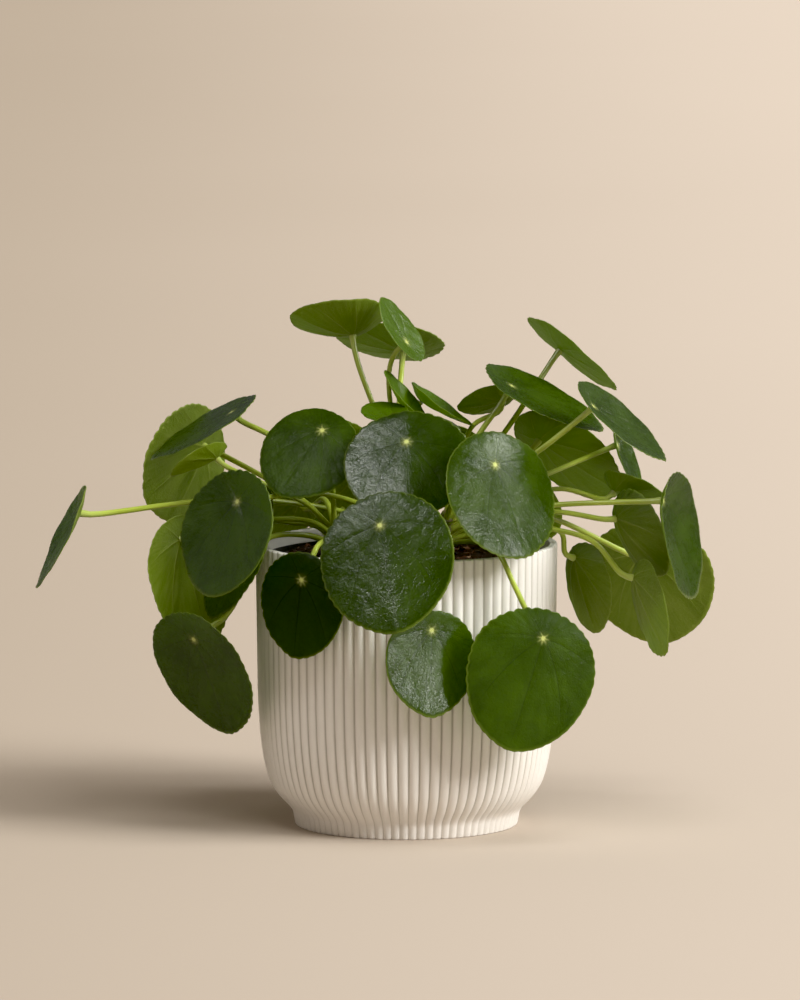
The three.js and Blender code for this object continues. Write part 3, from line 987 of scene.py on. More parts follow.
@dataclass
class Planter:
    """The ribbed white planter."""

    height: float = 173
    rim_radius: float = 92.2
    shoulder_radius: float = 91.2
    shoulder_height: float = 92
    turn_radius: float = 84
    turn_height: float = 28
    foot_radius: float = 69.4
    foot_height: float = 7
    base_radius: float = 68.3
    wall: float = 4.8
    floor: float = 6
    rib_count: int = 84
    rib_depth: float = 1.85
    foot_share: float = 0.7
    full_height: float = 38
    lip_shares: tuple[float, float] = (0.85, 0.7)
    rib_turn: float = math.radians(0.9)
    points_a_rib: int = 12
    curve_steps: int = 14
    wall_steps: int = 12
    lip_round: float = 0.9
    cavity: tuple[tuple[float, float], ...] = ((87.4, 100), (85.4, 45), (76, 20), (66, 6))

    def profile(self) -> np.ndarray:
        """Runs the outside from the flat underside up to the rim.

        Returns:
            Rows of radius and height.
        """
        foot = (self.foot_radius, self.foot_height)
        turn = (self.turn_radius, self.turn_height)
        shoulder = (self.shoulder_radius, self.shoulder_height)
        lower = bezier(foot, (70.6, 13), (79, 15.5), turn, self.curve_steps)
        upper = bezier(turn, (87.2, 37), (90.6, 52), shoulder, self.curve_steps)
        wall = np.linspace(shoulder, (self.rim_radius, self.height - self.lip_round), self.wall_steps)
        underside = ((-0.9, 0), (-0.25, 0.25), (0, 0.9))
        start = np.array([(self.base_radius + step, height) for step, height in underside])
        return np.concatenate([start, lower, upper[1:], wall[1:]])

    def rings(self) -> tuple[np.ndarray, np.ndarray]:
        """Lays out the whole shell from its underside over the rim to its floor.

        Returns:
            Each ring's radius and height, and how far the grooves carve it, from 0 to 1.
        """
        outside = self.profile()
        inner = self.rim_radius - self.wall
        quarter = np.linspace(0, math.pi / 2, 5)[1:]
        level, bend = self.height - self.lip_round, self.lip_round
        sine, cosine = bend * np.sin(quarter), bend * np.cos(quarter)
        outer_lip = np.stack([self.rim_radius - bend + cosine, level + sine], axis=1)
        inner_lip = np.stack([inner + bend - sine, level + cosine], axis=1)
        rows = np.concatenate([outside, outer_lip, [(inner + bend, self.height)], inner_lip, self.cavity])
        carved = np.zeros(len(rows))
        full = len(outside) + 2
        shares = (self.foot_share, self.foot_share, 1)
        carved[:full] = np.interp(rows[:full, 1], (0, self.foot_height, self.full_height), shares)
        carved[full : full + 2] = self.lip_shares
        return rows, carved

    def build(self, finish: bpy.types.Material) -> bpy.types.Object:
        """Makes the planter.

        Args:
            finish: its ceramic.

        Returns:
            The piece.
        """
        rows, carved = self.rings()
        columns = self.rib_count * self.points_a_rib
        angles = round_angles(columns) + self.rib_turn
        across = 2 * ((np.arange(columns) / self.points_a_rib) % 1) - 1
        groove = across**2
        radius = rows[:, :1] - self.rib_depth * (rows[:, :1] / self.rim_radius) * carved[:, None] * groove
        sheet = Sheet()
        first = sheet.add_grid(turned(radius, angles, rows[:, 1:]), True, groove=groove * carved[:, None])
        sheet.add_cap((0, 0, 0), first, columns, flip=True, groove=0)
        sheet.add_cap((0, 0, self.floor), first + (len(rows) - 1) * columns, columns, groove=0)
        piece = sheet.build("planter", finish)
        settle(piece, Slot.POT, "pot")
        return piece


@dataclass
class GrowingPot:
    """The thin black pot inside the planter."""

    top: float = 165.5
    wall: float = 1.3
    floor: float = 6.3
    base_radius: float = 63
    neck_radius: float = 83.5
    lip_radius: float = 86
    lip_height: float = 8
    drain_count: int = 6
    drain_radius: float = 5
    drain_circle: float = 42
    drain_land: float = 8
    grip_count: int = 48
    grip_depth: float = 0.12
    dents: tuple[float, float] = (0.16, 0.1)
    sides: int = 288

    def floor_side(self, sheet: Sheet, height: float, edge: int, up: bool) -> list[int]:
        """Adds one side of the floor, with its drain holes.

        Args:
            sheet: the mesh that it is added to.
            height: where it lies.
            edge: the first point of the ring that it is joined to.
            up: whether it faces up.

        Returns:
            The first point of each hole's edge.
        """
        circle = turned(1.0, round_angles(self.sides), 0.0)
        level = np.array([0, 0, height])
        near, far = (level + circle * (self.drain_circle + side * self.drain_land) for side in (-1, 1))
        hub, land = sheet.add_points(near), sheet.add_points(far)
        middle = sheet.add_points(level[None])
        patches = [fan_faces(middle, hub, self.sides), join_rings(land, edge, self.sides)]
        share = self.sides // self.drain_count
        holes = []
        for turn in range(self.drain_count):
            across = (np.arange(share + 1) - share // 2 + turn * share) % self.sides
            border = np.concatenate([land + across, hub + across[::-1]])
            centre = level + circle[turn * share] * self.drain_circle
            arms = np.concatenate([far[across], near[across[::-1]]]) - centre
            arms *= self.drain_radius / np.linalg.norm(arms, axis=1)[:, None]
            holes.append(sheet.add_points(centre + arms))
            hole = holes[-1] + np.arange(len(border))
            patches.append(np.stack([hole, border, np.roll(border, -1), np.roll(hole, -1)], axis=-1))
        for block in patches:
            sheet.add_faces(block if up else block[:, ::-1])
        return holes

    def build(self, finish: bpy.types.Material) -> bpy.types.Object:
        """Makes the growing pot.

        Args:
            finish: its plastic.

        Returns:
            The piece.
        """
        lip_bottom = self.top - self.lip_height
        lip, neck, base, wall = self.lip_radius, self.neck_radius, self.base_radius, self.wall
        rows = np.array(
            [
                (base - 1, self.floor),
                (base - 0.2, self.floor + 0.4),
                (base, self.floor + 1.2),
                (base + (neck - base) * 0.5, (self.floor + lip_bottom) / 2),
                (neck, lip_bottom - 2),
                (neck + 0.3, lip_bottom - 1.2),
                (lip - 0.3, lip_bottom),
                (lip, lip_bottom + 0.4),
                (lip, self.top - 3.2),
                (lip - 0.25, self.top - 2.9),
                (lip - 0.25, self.top - 2.4),
                (lip, self.top - 2.1),
                (lip, self.top - 0.5),
                (lip - 0.2, self.top - 0.12),
                (lip - 0.65, self.top),
                (lip - 1.1, self.top - 0.12),
                (lip - wall, self.top - 0.5),
                (lip - wall, lip_bottom + 1),
                (neck - wall, lip_bottom - 1),
                (base - wall, self.floor + wall),
            ]
        )
        angles = round_angles(self.sides)
        ripple = self.grip_depth * (1 - np.cos(angles * self.grip_count))
        grips = np.zeros((len(rows), 1))
        grips[7:9] = 1
        wide, narrow = self.dents
        dent = wide * np.sin(angles * 3 + 0.7) + narrow * np.sin(angles * 7)
        high = rows[:, 1:] + dent * ease(rows[:, 1:], self.top - 3, self.top)
        sheet = Sheet()
        first = sheet.add_grid(turned(rows[:, :1] - ripple * grips, angles, high), True)
        below = self.floor_side(sheet, self.floor, first, False)
        above = self.floor_side(sheet, self.floor + self.wall, first + (len(rows) - 1) * self.sides, True)
        around = 2 * (self.sides // self.drain_count + 1)
        for lower, upper in zip(below, above):
            sheet.add_faces(join_rings(upper, lower, around)[:, ::-1])
        piece = sheet.build("growing_pot", finish)
        settle(piece, Slot.NURSERY, "nursery_pot")
        return piece


@dataclass
class SoilBed:
    """The soil in the growing pot, with bark flakes scattered on it."""

    edge: float = 84.4
    edge_top: float = 162.5
    mound: float = 4
    lump: float = 1.1
    bottom: float = 7.9
    base_radius: float = 61.4
    neck_radius: float = 81.9
    neck_height: float = 156.5
    lip_height: float = 159.5
    rings: int = 56
    sides: int = 200
    flake_shapes: int = 6
    flake_length: float = 5.2
    flake_widths: tuple[float, ...] = (0.3, 0.5, 0.75)
    flakes_a_square_cm: float = 6.2
    flake_tilt: float = 0.45
    flake_sunk: float = 0.15
    bare_rings: int = 3
    crumb_share: float = 0.36

    def top(self, radius: np.ndarray, angle: np.ndarray) -> np.ndarray:
        """Shapes the soil's top, with the lumps of the part's source and finer clods.

        Args:
            radius: distances from the pot's axis.
            angle: angles round it.

        Returns:
            The top's heights there.
        """
        share = radius / self.edge
        lumps = np.sin(3 * angle + radius * 0.21) * np.cos(5 * angle - radius * 0.13)
        lumps = lumps + 0.6 * np.sin(11 * angle + radius * 0.4)
        x, y = radius * np.cos(angle), radius * np.sin(angle)
        clods = np.sin(x * 0.55 + 1.3 * np.sin(y * 0.31)) * np.sin(y * 0.61 + 1.1 * np.sin(x * 0.27))
        grit = np.sin(x * 1.7 + 2 * np.sin(y * 0.9)) * np.sin(y * 1.9 + 1.7 * np.sin(x * 0.8))
        fine = (0.85 * clods + 0.4 * grit) * (1 - ease(share, 0.96, 1.0))
        return self.edge_top + self.mound * (1 - share**2) + self.lump * lumps * share + fine

    def flake(self, index: int) -> bpy.types.Object:
        """Makes one flake shape of length 1: a flat splinter with broken ends, eight faces.

        Args:
            index: the shape's number.

        Returns:
            A helper object.
        """
        draw = np.random.default_rng(SEED + index)
        ends = np.array([(-1, -0.35), (-0.55, -0.5), (0.5, -0.45), (1, -0.2), (0.8, 0.42), (-0.7, 0.5)])
        count = len(ends)
        width = self.flake_widths[index % len(self.flake_widths)]
        ends = ends * draw.uniform(0.7, 1.2, (count, 2)) * (0.5, width)
        bow = 0.12 * ends[:, 0] ** 2
        low = np.column_stack([ends, bow - 0.09])
        upper = ends * draw.uniform(0.75, 0.98, (count, 1))
        high = np.column_stack([upper, bow + draw.uniform(0.05, 0.14, count)])
        sheet = Sheet()
        first = sheet.add_grid(np.stack([low, high]) / MM, True)
        sheet.add_faces([first + np.arange(count)[::-1]])
        sheet.add_faces([first + count + np.arange(count)])
        made = sheet.build(f"flake_shape_{index}")
        made.data.polygons.foreach_set("use_smooth", np.zeros(len(made.data.polygons), bool))
        return made

    def scatter_tree(
        self, shapes: bpy.types.Collection, finish: bpy.types.Material
    ) -> bpy.types.GeometryNodeTree:
        """The tree that strews flakes over a surface.

        Args:
            shapes: the flake shapes.
            finish: the flakes' material.

        Returns:
            The tree, with the inputs Density, Flake Length and Seed.
        """
        kinds = {"Density": "Float", "Flake Length": "Float", "Seed": "Int"}
        board, (bed, density, length, seed) = open_tree("strewn_flakes", kinds)
        spread = {0: bed, "Density": density, "Seed": seed}
        scatter = board.node("GeometryNodeDistributePointsOnFaces", values=spread)
        points, rotation = board.wires(scatter, "Points", "Rotation")
        least = (-self.flake_tilt, -self.flake_tilt, 0.0)
        most = (self.flake_tilt, self.flake_tilt, TURN)
        tilt = board.add(
            "FunctionNodeRandomValue", {"data_type": "FLOAT_VECTOR"}, {0: least, 1: most, "Seed": seed}
        )
        facing = board.add("FunctionNodeRotateRotation", {"rotation_space": "LOCAL"}, {0: rotation, 1: tilt})
        draw = board.add("FunctionNodeRandomValue", values={2: 0.0, 3: 1.0, "Seed": seed}, output=1)
        size = (draw**2.2 * 0.85 + self.crumb_share) * length
        picked = {"Collection": shapes, "Separate Children": True, "Reset Children": True}
        instances = {
            "Points": points,
            "Instance": board.add("GeometryNodeCollectionInfo", values=picked),
            "Pick Instance": True,
            "Rotation": facing,
            "Scale": size,
        }
        strewn = board.add("GeometryNodeInstanceOnPoints", values=instances)
        tone = board.add("FunctionNodeRandomValue", values={2: 0.0, 3: 1.0, "Seed": seed + 7}, output=1)
        toned = board.add(
            "GeometryNodeStoreNamedAttribute",
            {"domain": "INSTANCE"},
            {"Geometry": strewn, "Name": "flake_tone", "Value": tone},
        )
        return close_tree(board, toned, finish)

    def strew(self, bed: bpy.types.Object, finish: bpy.types.Material) -> bpy.types.Object:
        """Scatters the flakes on the soil's top.

        Args:
            bed: a helper object that is the open top alone; it is removed.
            finish: the flakes' material.

        Returns:
            The flakes as one plain mesh.
        """
        shapes = bpy.data.collections.new("flake_shapes")
        bpy.context.scene.collection.children.link(shapes)
        helpers = [self.flake(k) for k in range(self.flake_shapes)]
        for helper in helpers:
            bpy.context.scene.collection.objects.unlink(helper)
            shapes.objects.link(helper)
        density = self.flakes_a_square_cm / (10 * MM) ** 2
        values = {"Density": density, "Flake Length": self.flake_length * MM, "Seed": SEED}
        made = run_tree(bed, self.scatter_tree(shapes, finish), "bark_flakes", values)
        for helper in helpers:
            bpy.data.objects.remove(helper)
        bpy.data.collections.remove(shapes)
        return made

    def build(self, soil: bpy.types.Material, flakes: bpy.types.Material) -> list[bpy.types.Object]:
        """Makes the soil and its flakes.

        Args:
            soil: the soil's finish.
            flakes: the flakes' finish.

        Returns:
            The two pieces.
        """
        angles = round_angles(self.sides)
        radii = self.edge * np.linspace(1, 0, self.rings + 1)[:-1, None]
        top = turned(radii, angles, self.top(radii, angles))
        low, neck = (self.base_radius, self.bottom), (self.neck_radius, self.neck_height)
        flanks = (low, neck, (self.edge, self.lip_height))
        skirt = np.array([turned(radius, angles, height) for radius, height in flanks])
        sheet = Sheet()
        first = sheet.add_grid(np.concatenate([skirt, top]), True)
        innermost = first + (len(flanks) + self.rings - 1) * self.sides
        sheet.add_cap((0, 0, float(self.top(np.array(0.0), 0.0))), innermost, self.sides)
        sheet.add_cap((0, 0, self.bottom), first, self.sides, flip=True)
        bed = sheet.build("potting_soil", soil)
        settle(bed, Slot.SOIL, "soil")
        helper = Sheet()
        helper.add_grid(top[self.bare_rings :] - (0, 0, self.flake_sunk), True)
        chips = self.strew(helper.build("flake_bed"), flakes)
        settle(chips, Slot.SOIL)
        return [bed, chips]


def open_tree(name: str, inputs: dict[str, str]) -> tuple[NodeBoard, list[Wire]]:
    """Starts a Geometry Nodes tree.

    Args:
        name: the tree's name.
        inputs: the name and kind of each input after the geometry.

    Returns:
        The tree's board, and the geometry and the other inputs as wires.
    """
    tree = bpy.data.node_groups.new(name, "GeometryNodeTree")
    for label, kind in {"Geometry": "Geometry", **inputs}.items():
        tree.interface.new_socket(label, in_out="INPUT", socket_type=f"NodeSocket{kind}")
    tree.interface.new_socket("Geometry", in_out="OUTPUT", socket_type="NodeSocketGeometry")
    board = NodeBoard(tree)
    return board, board.wires(board.node("NodeGroupInput"), *range(len(inputs) + 1))


def close_tree(board: NodeBoard, geometry: Wire, finish: bpy.types.Material) -> bpy.types.GeometryNodeTree:
    """Ends a Geometry Nodes tree in Realize Instances and Set Material.

    Args:
        board: the tree's board.
        geometry: what the tree has made.
        finish: the material that it gets.

    Returns:
        The tree.
    """
    real = board.add("GeometryNodeRealizeInstances", values={"Geometry": geometry})
    dressed = board.add("GeometryNodeSetMaterial", values={"Geometry": real, "Material": finish})
    board.node("NodeGroupOutput", values={0: dressed})
    return board.tree


def run_tree(
    carrier: bpy.types.Object, tree: bpy.types.GeometryNodeTree, name: str, values: dict[str, Any]
) -> bpy.types.Object:
    """Runs a Geometry Nodes tree on a helper and keeps the result as a plain mesh.

    Args:
        carrier: the object that the tree works on; it is removed.
        tree: the tree.
        name: the new piece's name.
        values: the tree's named inputs.

    Returns:
        The new object.
    """
    modifier = carrier.modifiers.new(tree.name, "NODES")
    modifier.node_group = tree
    for item in tree.interface.items_tree:
        if item.item_type == "SOCKET" and item.in_out == "INPUT" and item.name in values:
            modifier[item.identifier] = values[item.name]
    depsgraph = bpy.context.evaluated_depsgraph_get()
    evaluated = carrier.evaluated_get(depsgraph)
    mesh = bpy.data.meshes.new_from_object(evaluated, preserve_all_data_layers=True, depsgraph=depsgraph)
    mesh.name = name
    carrier.modifiers.remove(modifier)
    bpy.data.objects.remove(carrier)
    return link_object(name, mesh)


# Leaves and stems


@dataclass(frozen=True)
class Leaf:
    """One leaf: where its stalk meets the blade, how the blade lies, and how the stalk gets there.

    The blade faces a bearing and a tilt and is turned about that direction, all in degrees. Its stalk
    runs past the points of past, or without any climbs by rise first. The last two values are for the
    finish; above nought the first gives a young leaf's fresher green, and below nought it darkens the blade
    with painted shade.
    """

    at: Point
    faces: tuple[float, float]
    turn: float
    long: float
    wide: float
    back: float = 0.24
    dome: float = 0.0
    fold: float = 0.0
    rise: float = 0.0
    past: tuple[Point, ...] = ()
    youth_and_shade: float = 0.0
    bloom: float = 0.0

    thickness = 0.9
    joint_gap = 0.55
    stalk_arch = 5.0
    stalk_approach = 7.0
    stalk_ease = 2.2
    stalk_sunk = 0.72
    longest_bend = 28.0
    spline_steps = 12
    curve_steps = 40

    def axes(self) -> tuple[np.ndarray, np.ndarray, np.ndarray]:
        """Finds how the blade lies.

        Returns:
            The directions out of the upper face, towards the tip, and across.
        """
        bearing, tilt, turn = (math.radians(angle) for angle in (*self.faces, self.turn))
        level = math.cos(tilt)
        out = np.array((level * math.sin(bearing), -level * math.cos(bearing), math.sin(tilt)))
        down = np.array((0.0, 0.0, -1.0))
        tip = unit(down - out * (down @ out))
        tip = tip * math.cos(turn) + np.cross(out, tip) * math.sin(turn)
        return out, tip, np.cross(out, tip)

    def stalk_line(self, root: np.ndarray, steps: int) -> np.ndarray:
        """Runs the stalk's middle line, from inside the stem to just inside the blade.

        Args:
            root: where it leaves the stem.
            steps: how many points it has.

        Returns:
            Its points, evenly spaced.
        """
        out = self.axes()[0]
        at = np.array(self.at, float)
        end = at - out * (self.thickness / 2 + self.joint_gap)
        if self.past:
            climb = root + (np.array(self.past[0], float) - root) * 0.4 + (0, 0, self.stalk_arch)
            inward = unit(end - np.array(self.past[-1], float))
            lean = unit(out + inward * max(0.0, float(inward @ out)) * self.stalk_ease)
            line = spline([root, climb, *self.past, end - lean * self.stalk_approach, end], self.spline_steps)
        else:
            span = end - root
            climb = root + span * 0.3
            climb[2] = root[2] + self.rise
            bend = end - out * min(0.3 * np.linalg.norm(span), self.longest_bend)
            line = bezier(root, climb, bend, end, self.curve_steps)
        return evenly(np.vstack([line[:-1], at - out * self.stalk_sunk]), steps)


# A negative youth value darkens a blade with painted shade; a positive one gives a young leaf's fresher
# green.
LEAVES: dict[str, tuple[Leaf, ...]] = {
    "stem_main": (
        Leaf(at=(15, -108, 134), faces=(31, 6), turn=-6, long=63, wide=63, back=0.19, dome=-2.5, fold=-0.05,
             past=((10, -95, 181),)),
        Leaf(at=(2, 146, 128), faces=(178, 5), turn=-5, long=84, wide=80, dome=4,
             past=((3, 96, 181),)),
        Leaf(at=(-16, -114, 198), faces=(-16, 24), turn=16, long=88, wide=82, dome=0.5, fold=-0.12, rise=35,
             youth_and_shade=-0.35),
        Leaf(at=(-200, 10, 190), faces=(-84, 26), turn=4, long=68, wide=64, dome=-4,
             past=((-108, 29, 196),)),
        Leaf(at=(-102, -55, 205), faces=(-45, 19), turn=1, long=78, wide=75, dome=-4,
             past=((-62, -33, 208),)),
        Leaf(at=(-30, 112, 200), faces=(-170, 30), turn=5, long=66, wide=62, dome=4, rise=35),
        Leaf(at=(-107, 35, 249), faces=(-80, 59), turn=-10, long=74, wide=70, dome=-1,
             past=((-86, 28, 237),)),
        Leaf(at=(8, 125, 232), faces=(175, 45), turn=-10, long=50, wide=48, dome=3, rise=35),
        Leaf(at=(27, 85, 225), faces=(144, 43), turn=-28, long=44, wide=40, dome=-4, rise=35, youth_and_shade=0.3),
        Leaf(at=(0, -60, 242), faces=(-6, 37), turn=6, long=74, wide=78, back=0.3, dome=0, fold=-0.14,
             rise=40, youth_and_shade=-0.4),
        Leaf(at=(-35, 60, 229), faces=(180, 46), turn=59, long=44, wide=40, dome=-4, rise=35, youth_and_shade=0.3),
        Leaf(at=(16, 50, 239), faces=(42, 76), turn=142, long=40, wide=38, dome=3, rise=35, youth_and_shade=0.4),
        Leaf(at=(9, 10, 259), faces=(90, 55), turn=-4, long=46, wide=42, dome=-6, rise=25, youth_and_shade=0.75),
        Leaf(at=(-9, -32, 252), faces=(0, 73), turn=-145, long=30, wide=28, dome=-3, rise=25, youth_and_shade=0.6),
        Leaf(at=(1, -8, 254), faces=(77, 40), turn=-169, long=37, wide=28, dome=-6, rise=25, youth_and_shade=0.8,
             bloom=0.8),
        Leaf(at=(-2, 78, 282), faces=(169, 63), turn=104, long=66, wide=62, back=0.38, dome=-6, rise=40),
        Leaf(at=(-33, 25, 298), faces=(-169, 63), turn=99, long=60, wide=58, back=0.37, dome=-12, rise=45),
        Leaf(at=(0, -2, 296), faces=(66, 34), turn=-177, long=45, wide=38, back=0.32, dome=-2, rise=45,
             youth_and_shade=0.6, bloom=0.4),
    ),
    "stem_left": (
        Leaf(at=(-63, -90, 162), faces=(-30, -4), turn=-11, long=65, wide=57, dome=4,
             past=((-55, -76, 178),), youth_and_shade=-0.9, bloom=0.9),
        Leaf(at=(-129, -40, 119), faces=(-45, -23), turn=7, long=82, wide=80, dome=-3,
             past=((-86, -36, 179), (-98, -30, 153), (-109, -32, 133),)),
        Leaf(at=(-139, 20, 172), faces=(-128, -12), turn=-9, long=82, wide=76, back=0.18, dome=0,
             past=((-70, 18, 183), (-108, 30, 183),)),
        Leaf(at=(-52, 118, 150), faces=(-165, 8), turn=10, long=80, wide=76, dome=4,
             past=((-40, 87, 181),)),
        Leaf(at=(-94, -15, 191), faces=(-66, 23), turn=4, long=86, wide=80, dome=-2, rise=20),
        Leaf(at=(-67, 70, 190), faces=(-150, 38), turn=35, long=66, wide=62, dome=-5, rise=45),
        Leaf(at=(-126, 95, 221), faces=(-130, 7), turn=61, long=76, wide=74, dome=0,
             past=((-87, 40, 208),)),
        Leaf(at=(-116, 15, 223), faces=(-130, 52), turn=40, long=38, wide=28, dome=-4, fold=0.2,
             past=((-84, 6, 207),), youth_and_shade=0.5),
        Leaf(at=(-51, -35, 246), faces=(-19, 35), turn=-26, long=62, wide=63, dome=4, rise=45, bloom=0.9),
    ),
    "stem_right": (
        Leaf(at=(82, -100, 128), faces=(22, 1), turn=-18, long=86, wide=84, back=0.2, dome=3,
             past=((54, -76, 178), (65, -89, 158),), bloom=0.8),
        Leaf(at=(103, 5, 163), faces=(121, 5), turn=-9, long=55, wide=52, back=0.15, dome=-7,
             past=((94, -3, 180),)),
        Leaf(at=(50, 116, 158), faces=(160, 12), turn=-8, long=76, wide=72, dome=4,
             past=((42, 87, 181),)),
        Leaf(at=(138, -35, 156), faces=(110, 7), turn=-31, long=60, wide=54, back=0.15, dome=-5,
             past=((89, -24, 184), (114, -31, 177),)),
        Leaf(at=(145, 65, 158), faces=(164, 19), turn=-9, long=82, wide=84, dome=-3,
             past=((84, 45, 184),)),
        Leaf(at=(128, -10, 189), faces=(123, 13), turn=-41, long=58, wide=50, dome=-10,
             past=((90, -17, 194),)),
        Leaf(at=(66, 104, 198), faces=(150, 35), turn=-10, long=60, wide=58, dome=4, rise=30),
        Leaf(at=(155, -50, 205), faces=(71, 7), turn=18, long=78, wide=70, back=0.19, dome=-8,
             past=((90, -32, 200),)),
        Leaf(at=(127, 5, 204), faces=(137, 57), turn=-45, long=40, wide=36, dome=-8,
             past=((94, 0, 206),)),
        Leaf(at=(129, 25, 230), faces=(77, 23), turn=-10, long=46, wide=38, dome=-4,
             past=((87, 12, 214),)),
        Leaf(at=(53, -85, 231), faces=(39, 23), turn=11, long=79, wide=82, back=0.27, dome=5, rise=35),
        Leaf(at=(82, 60, 229), faces=(139, 39), turn=-41, long=78, wide=74, dome=-4, rise=35),
        Leaf(at=(113, -40, 261), faces=(75, 48), turn=12, long=70, wide=66, dome=-5,
             past=((77, -34, 231),)),
        Leaf(at=(64, 10, 268), faces=(70, 61), turn=18, long=80, wide=74, dome=-3, rise=50),
        Leaf(at=(59, 30, 257), faces=(-157, 53), turn=65, long=36, wide=34, dome=-3,
             past=((41, 18, 243),), youth_and_shade=0.4),
        Leaf(at=(95, 62, 285), faces=(111, 48), turn=-13, long=69, wide=64, back=0.4, dome=-3,
             past=((59, 27, 236), (83, 56, 268),)),
    ),
}


@dataclass
class Blade:
    """One leaf blade of two fine faces, with its veins, puckers, waves and notched edge."""

    leaf: Leaf
    number: int
    thickness: float = 0.8
    tip_push: float = 0.035
    tip_spread: float = 0.3
    notch: float = 0.020
    notch_pitch: float = 6.6
    vein_depth: float = 0.27
    rib_height: float = 0.55
    well_depth: float = 0.10
    well_radius: float = 3.6
    lip_overhang: float = 0.3
    joint_swell: float = 0.1
    sizes: tuple[int, ...] = (28, 60, 88)
    columns_by_size: tuple[int, ...] = (96, 132, 156)
    rows_by_size: tuple[int, ...] = (13, 18, 22)

    def __post_init__(self) -> None:
        """Draws what varies from leaf to leaf, and counts the points that a leaf of this size gets."""
        draw = np.random.default_rng(SEED * 7 + self.number)
        self.tone = float(draw.uniform(0, 1))
        self.phases = draw.uniform(0, TURN, 8)
        self.size = max(self.leaf.long, self.leaf.wide)
        self.columns = int(round(np.interp(self.size, self.sizes, self.columns_by_size)))
        self.rows = int(round(np.interp(self.size, self.sizes, self.rows_by_size)))
        self.notches = max(10, int(round(self.size * math.pi / self.notch_pitch)))

    def outline(self, angles: np.ndarray) -> tuple[np.ndarray, np.ndarray]:
        """Runs the rim, with its tip, scallops and uneven growth.

        Args:
            angles: angles round the blade from its tip.

        Returns:
            How far along and how far across the blade the rim lies at each.
        """
        leaf, p = self.leaf, self.phases
        swing = np.arctan2(np.sin(angles), np.cos(angles))
        scallop = np.abs(np.sin(self.notches / 2 * angles + 0.5 * np.sin(2 * angles + p[0]))) ** 0.7 - 0.7
        strength = 0.75 + 0.45 * np.sin(angles + p[1])
        uneven = 0.007 * np.sin(3 * angles + p[2]) + 0.005 * np.sin(5 * angles + p[3])
        notch = 1 + self.notch * strength * scallop * 1.4 + uneven
        push = self.tip_push * np.exp(-((swing / self.tip_spread) ** 2))
        along = (0.5 - leaf.back) * leaf.long + 0.5 * leaf.long * (np.cos(angles) + push) * notch
        side = 0.5 * leaf.wide * np.sin(angles) * (1 - 0.07 * np.cos(angles)) * notch
        return along, side

    def veins(self, side: np.ndarray, along: np.ndarray, share: np.ndarray) -> np.ndarray:
        """Lays the main veins where the leaf's finish draws them.

        Args:
            side: how far each point is across the blade.
            along: how far it is towards the tip.
            share: how near it is to the rim, 1 on it.

        Returns:
            How near each point is to a vein, 1 on the strongest one's middle line.
        """
        reach = np.hypot(side, along)
        swing = np.arctan2(np.abs(side), along)
        near = np.zeros_like(share)
        for vein in VEINS:
            gap = np.abs(swing - vein.angle + share * vein.bend) * reach
            width = vein.carved * (1.2 - 0.6 * share)
            near = np.maximum(near, np.exp(-((gap / width) ** 2)) * vein.strength)
        return near * (1 - ease(share, 0.75, 1.0)) * ease(reach, 2.0, 9.0)

    def lift(self, side: np.ndarray, along: np.ndarray, share: np.ndarray, angles: np.ndarray) -> np.ndarray:
        """Shapes the blade, without its veins: dome, fold, waves, frill, puckers, well and curled rim.

        Args:
            side: how far each point is across the blade.
            along: how far it is towards the tip.
            share: how near it is to the rim, 1 on it.
            angles: its angle round the blade.

        Returns:
            Each point's height above the blade's flat plane.
        """
        leaf, p, size = self.leaf, self.phases, self.size
        body = -leaf.dome * share**1.6 + leaf.fold * np.abs(side)
        wave = 0.011 * size * share**2.2 * (np.sin(3 * angles + p[4]) + 0.55 * np.sin(5 * angles + p[5]))
        frill = 0.0035 * size * ease(share, 0.7, 1.0) * np.sin(9 * angles + p[6])
        pucker = np.sin(side * 0.42 + 1.6 * np.sin(along * 0.17 + p[7]))
        pucker = pucker * np.sin(along * 0.37 + 1.4 * np.sin(side * 0.21))
        fine = np.sin(side * 1.05 + p[1] + np.sin(along * 0.6))
        fine = fine * np.sin(along * 1.15 + p[2] + np.sin(side * 0.7))
        quilt = (0.15 * pucker + 0.035 * fine) * ease(share, 0.08, 0.35) * (1 - 0.5 * ease(share, 0.85, 1.0))
        well = -self.well_depth * np.exp(-((np.hypot(side, along) / self.well_radius) ** 2))
        curl = -0.003 * size * ease(share, 0.82, 1.0) ** 2
        return body + wave * 0.6 + frill + quilt + well + curl

    def build(self, finish: bpy.types.Material) -> bpy.types.Object:
        """Makes the blade.

        Args:
            finish: the leaf's skin.

        Returns:
            The piece.
        """
        leaf, columns = self.leaf, self.columns
        out, tip, across = leaf.axes()
        at = np.array(leaf.at, float)
        angles = round_angles(columns)
        shares = np.linspace(0, 1, self.rows + 1)[1:] ** 0.92
        rim_along, rim_side = self.outline(angles)
        share = np.broadcast_to(shares[:, None], (self.rows, columns))
        along, side = rim_along * share, rim_side * share
        level = self.lift(side, along, share, np.broadcast_to(angles, share.shape))
        near = self.veins(side, along, share)
        thin = self.thickness * (1 - 0.45 * ease(share, 0.5, 1.0)) / 2
        top = level + thin - self.vein_depth * near
        low = level - thin - self.rib_height * near * (1 - 0.35 * share)

        def spots(lift: np.ndarray, stretch: float = 1.0) -> np.ndarray:
            """Points at those heights over the blade's plane."""
            flat = (along * stretch)[..., None] * tip + (side * stretch)[..., None] * across
            return (at + flat + lift[..., None] * out).reshape(-1, 3)

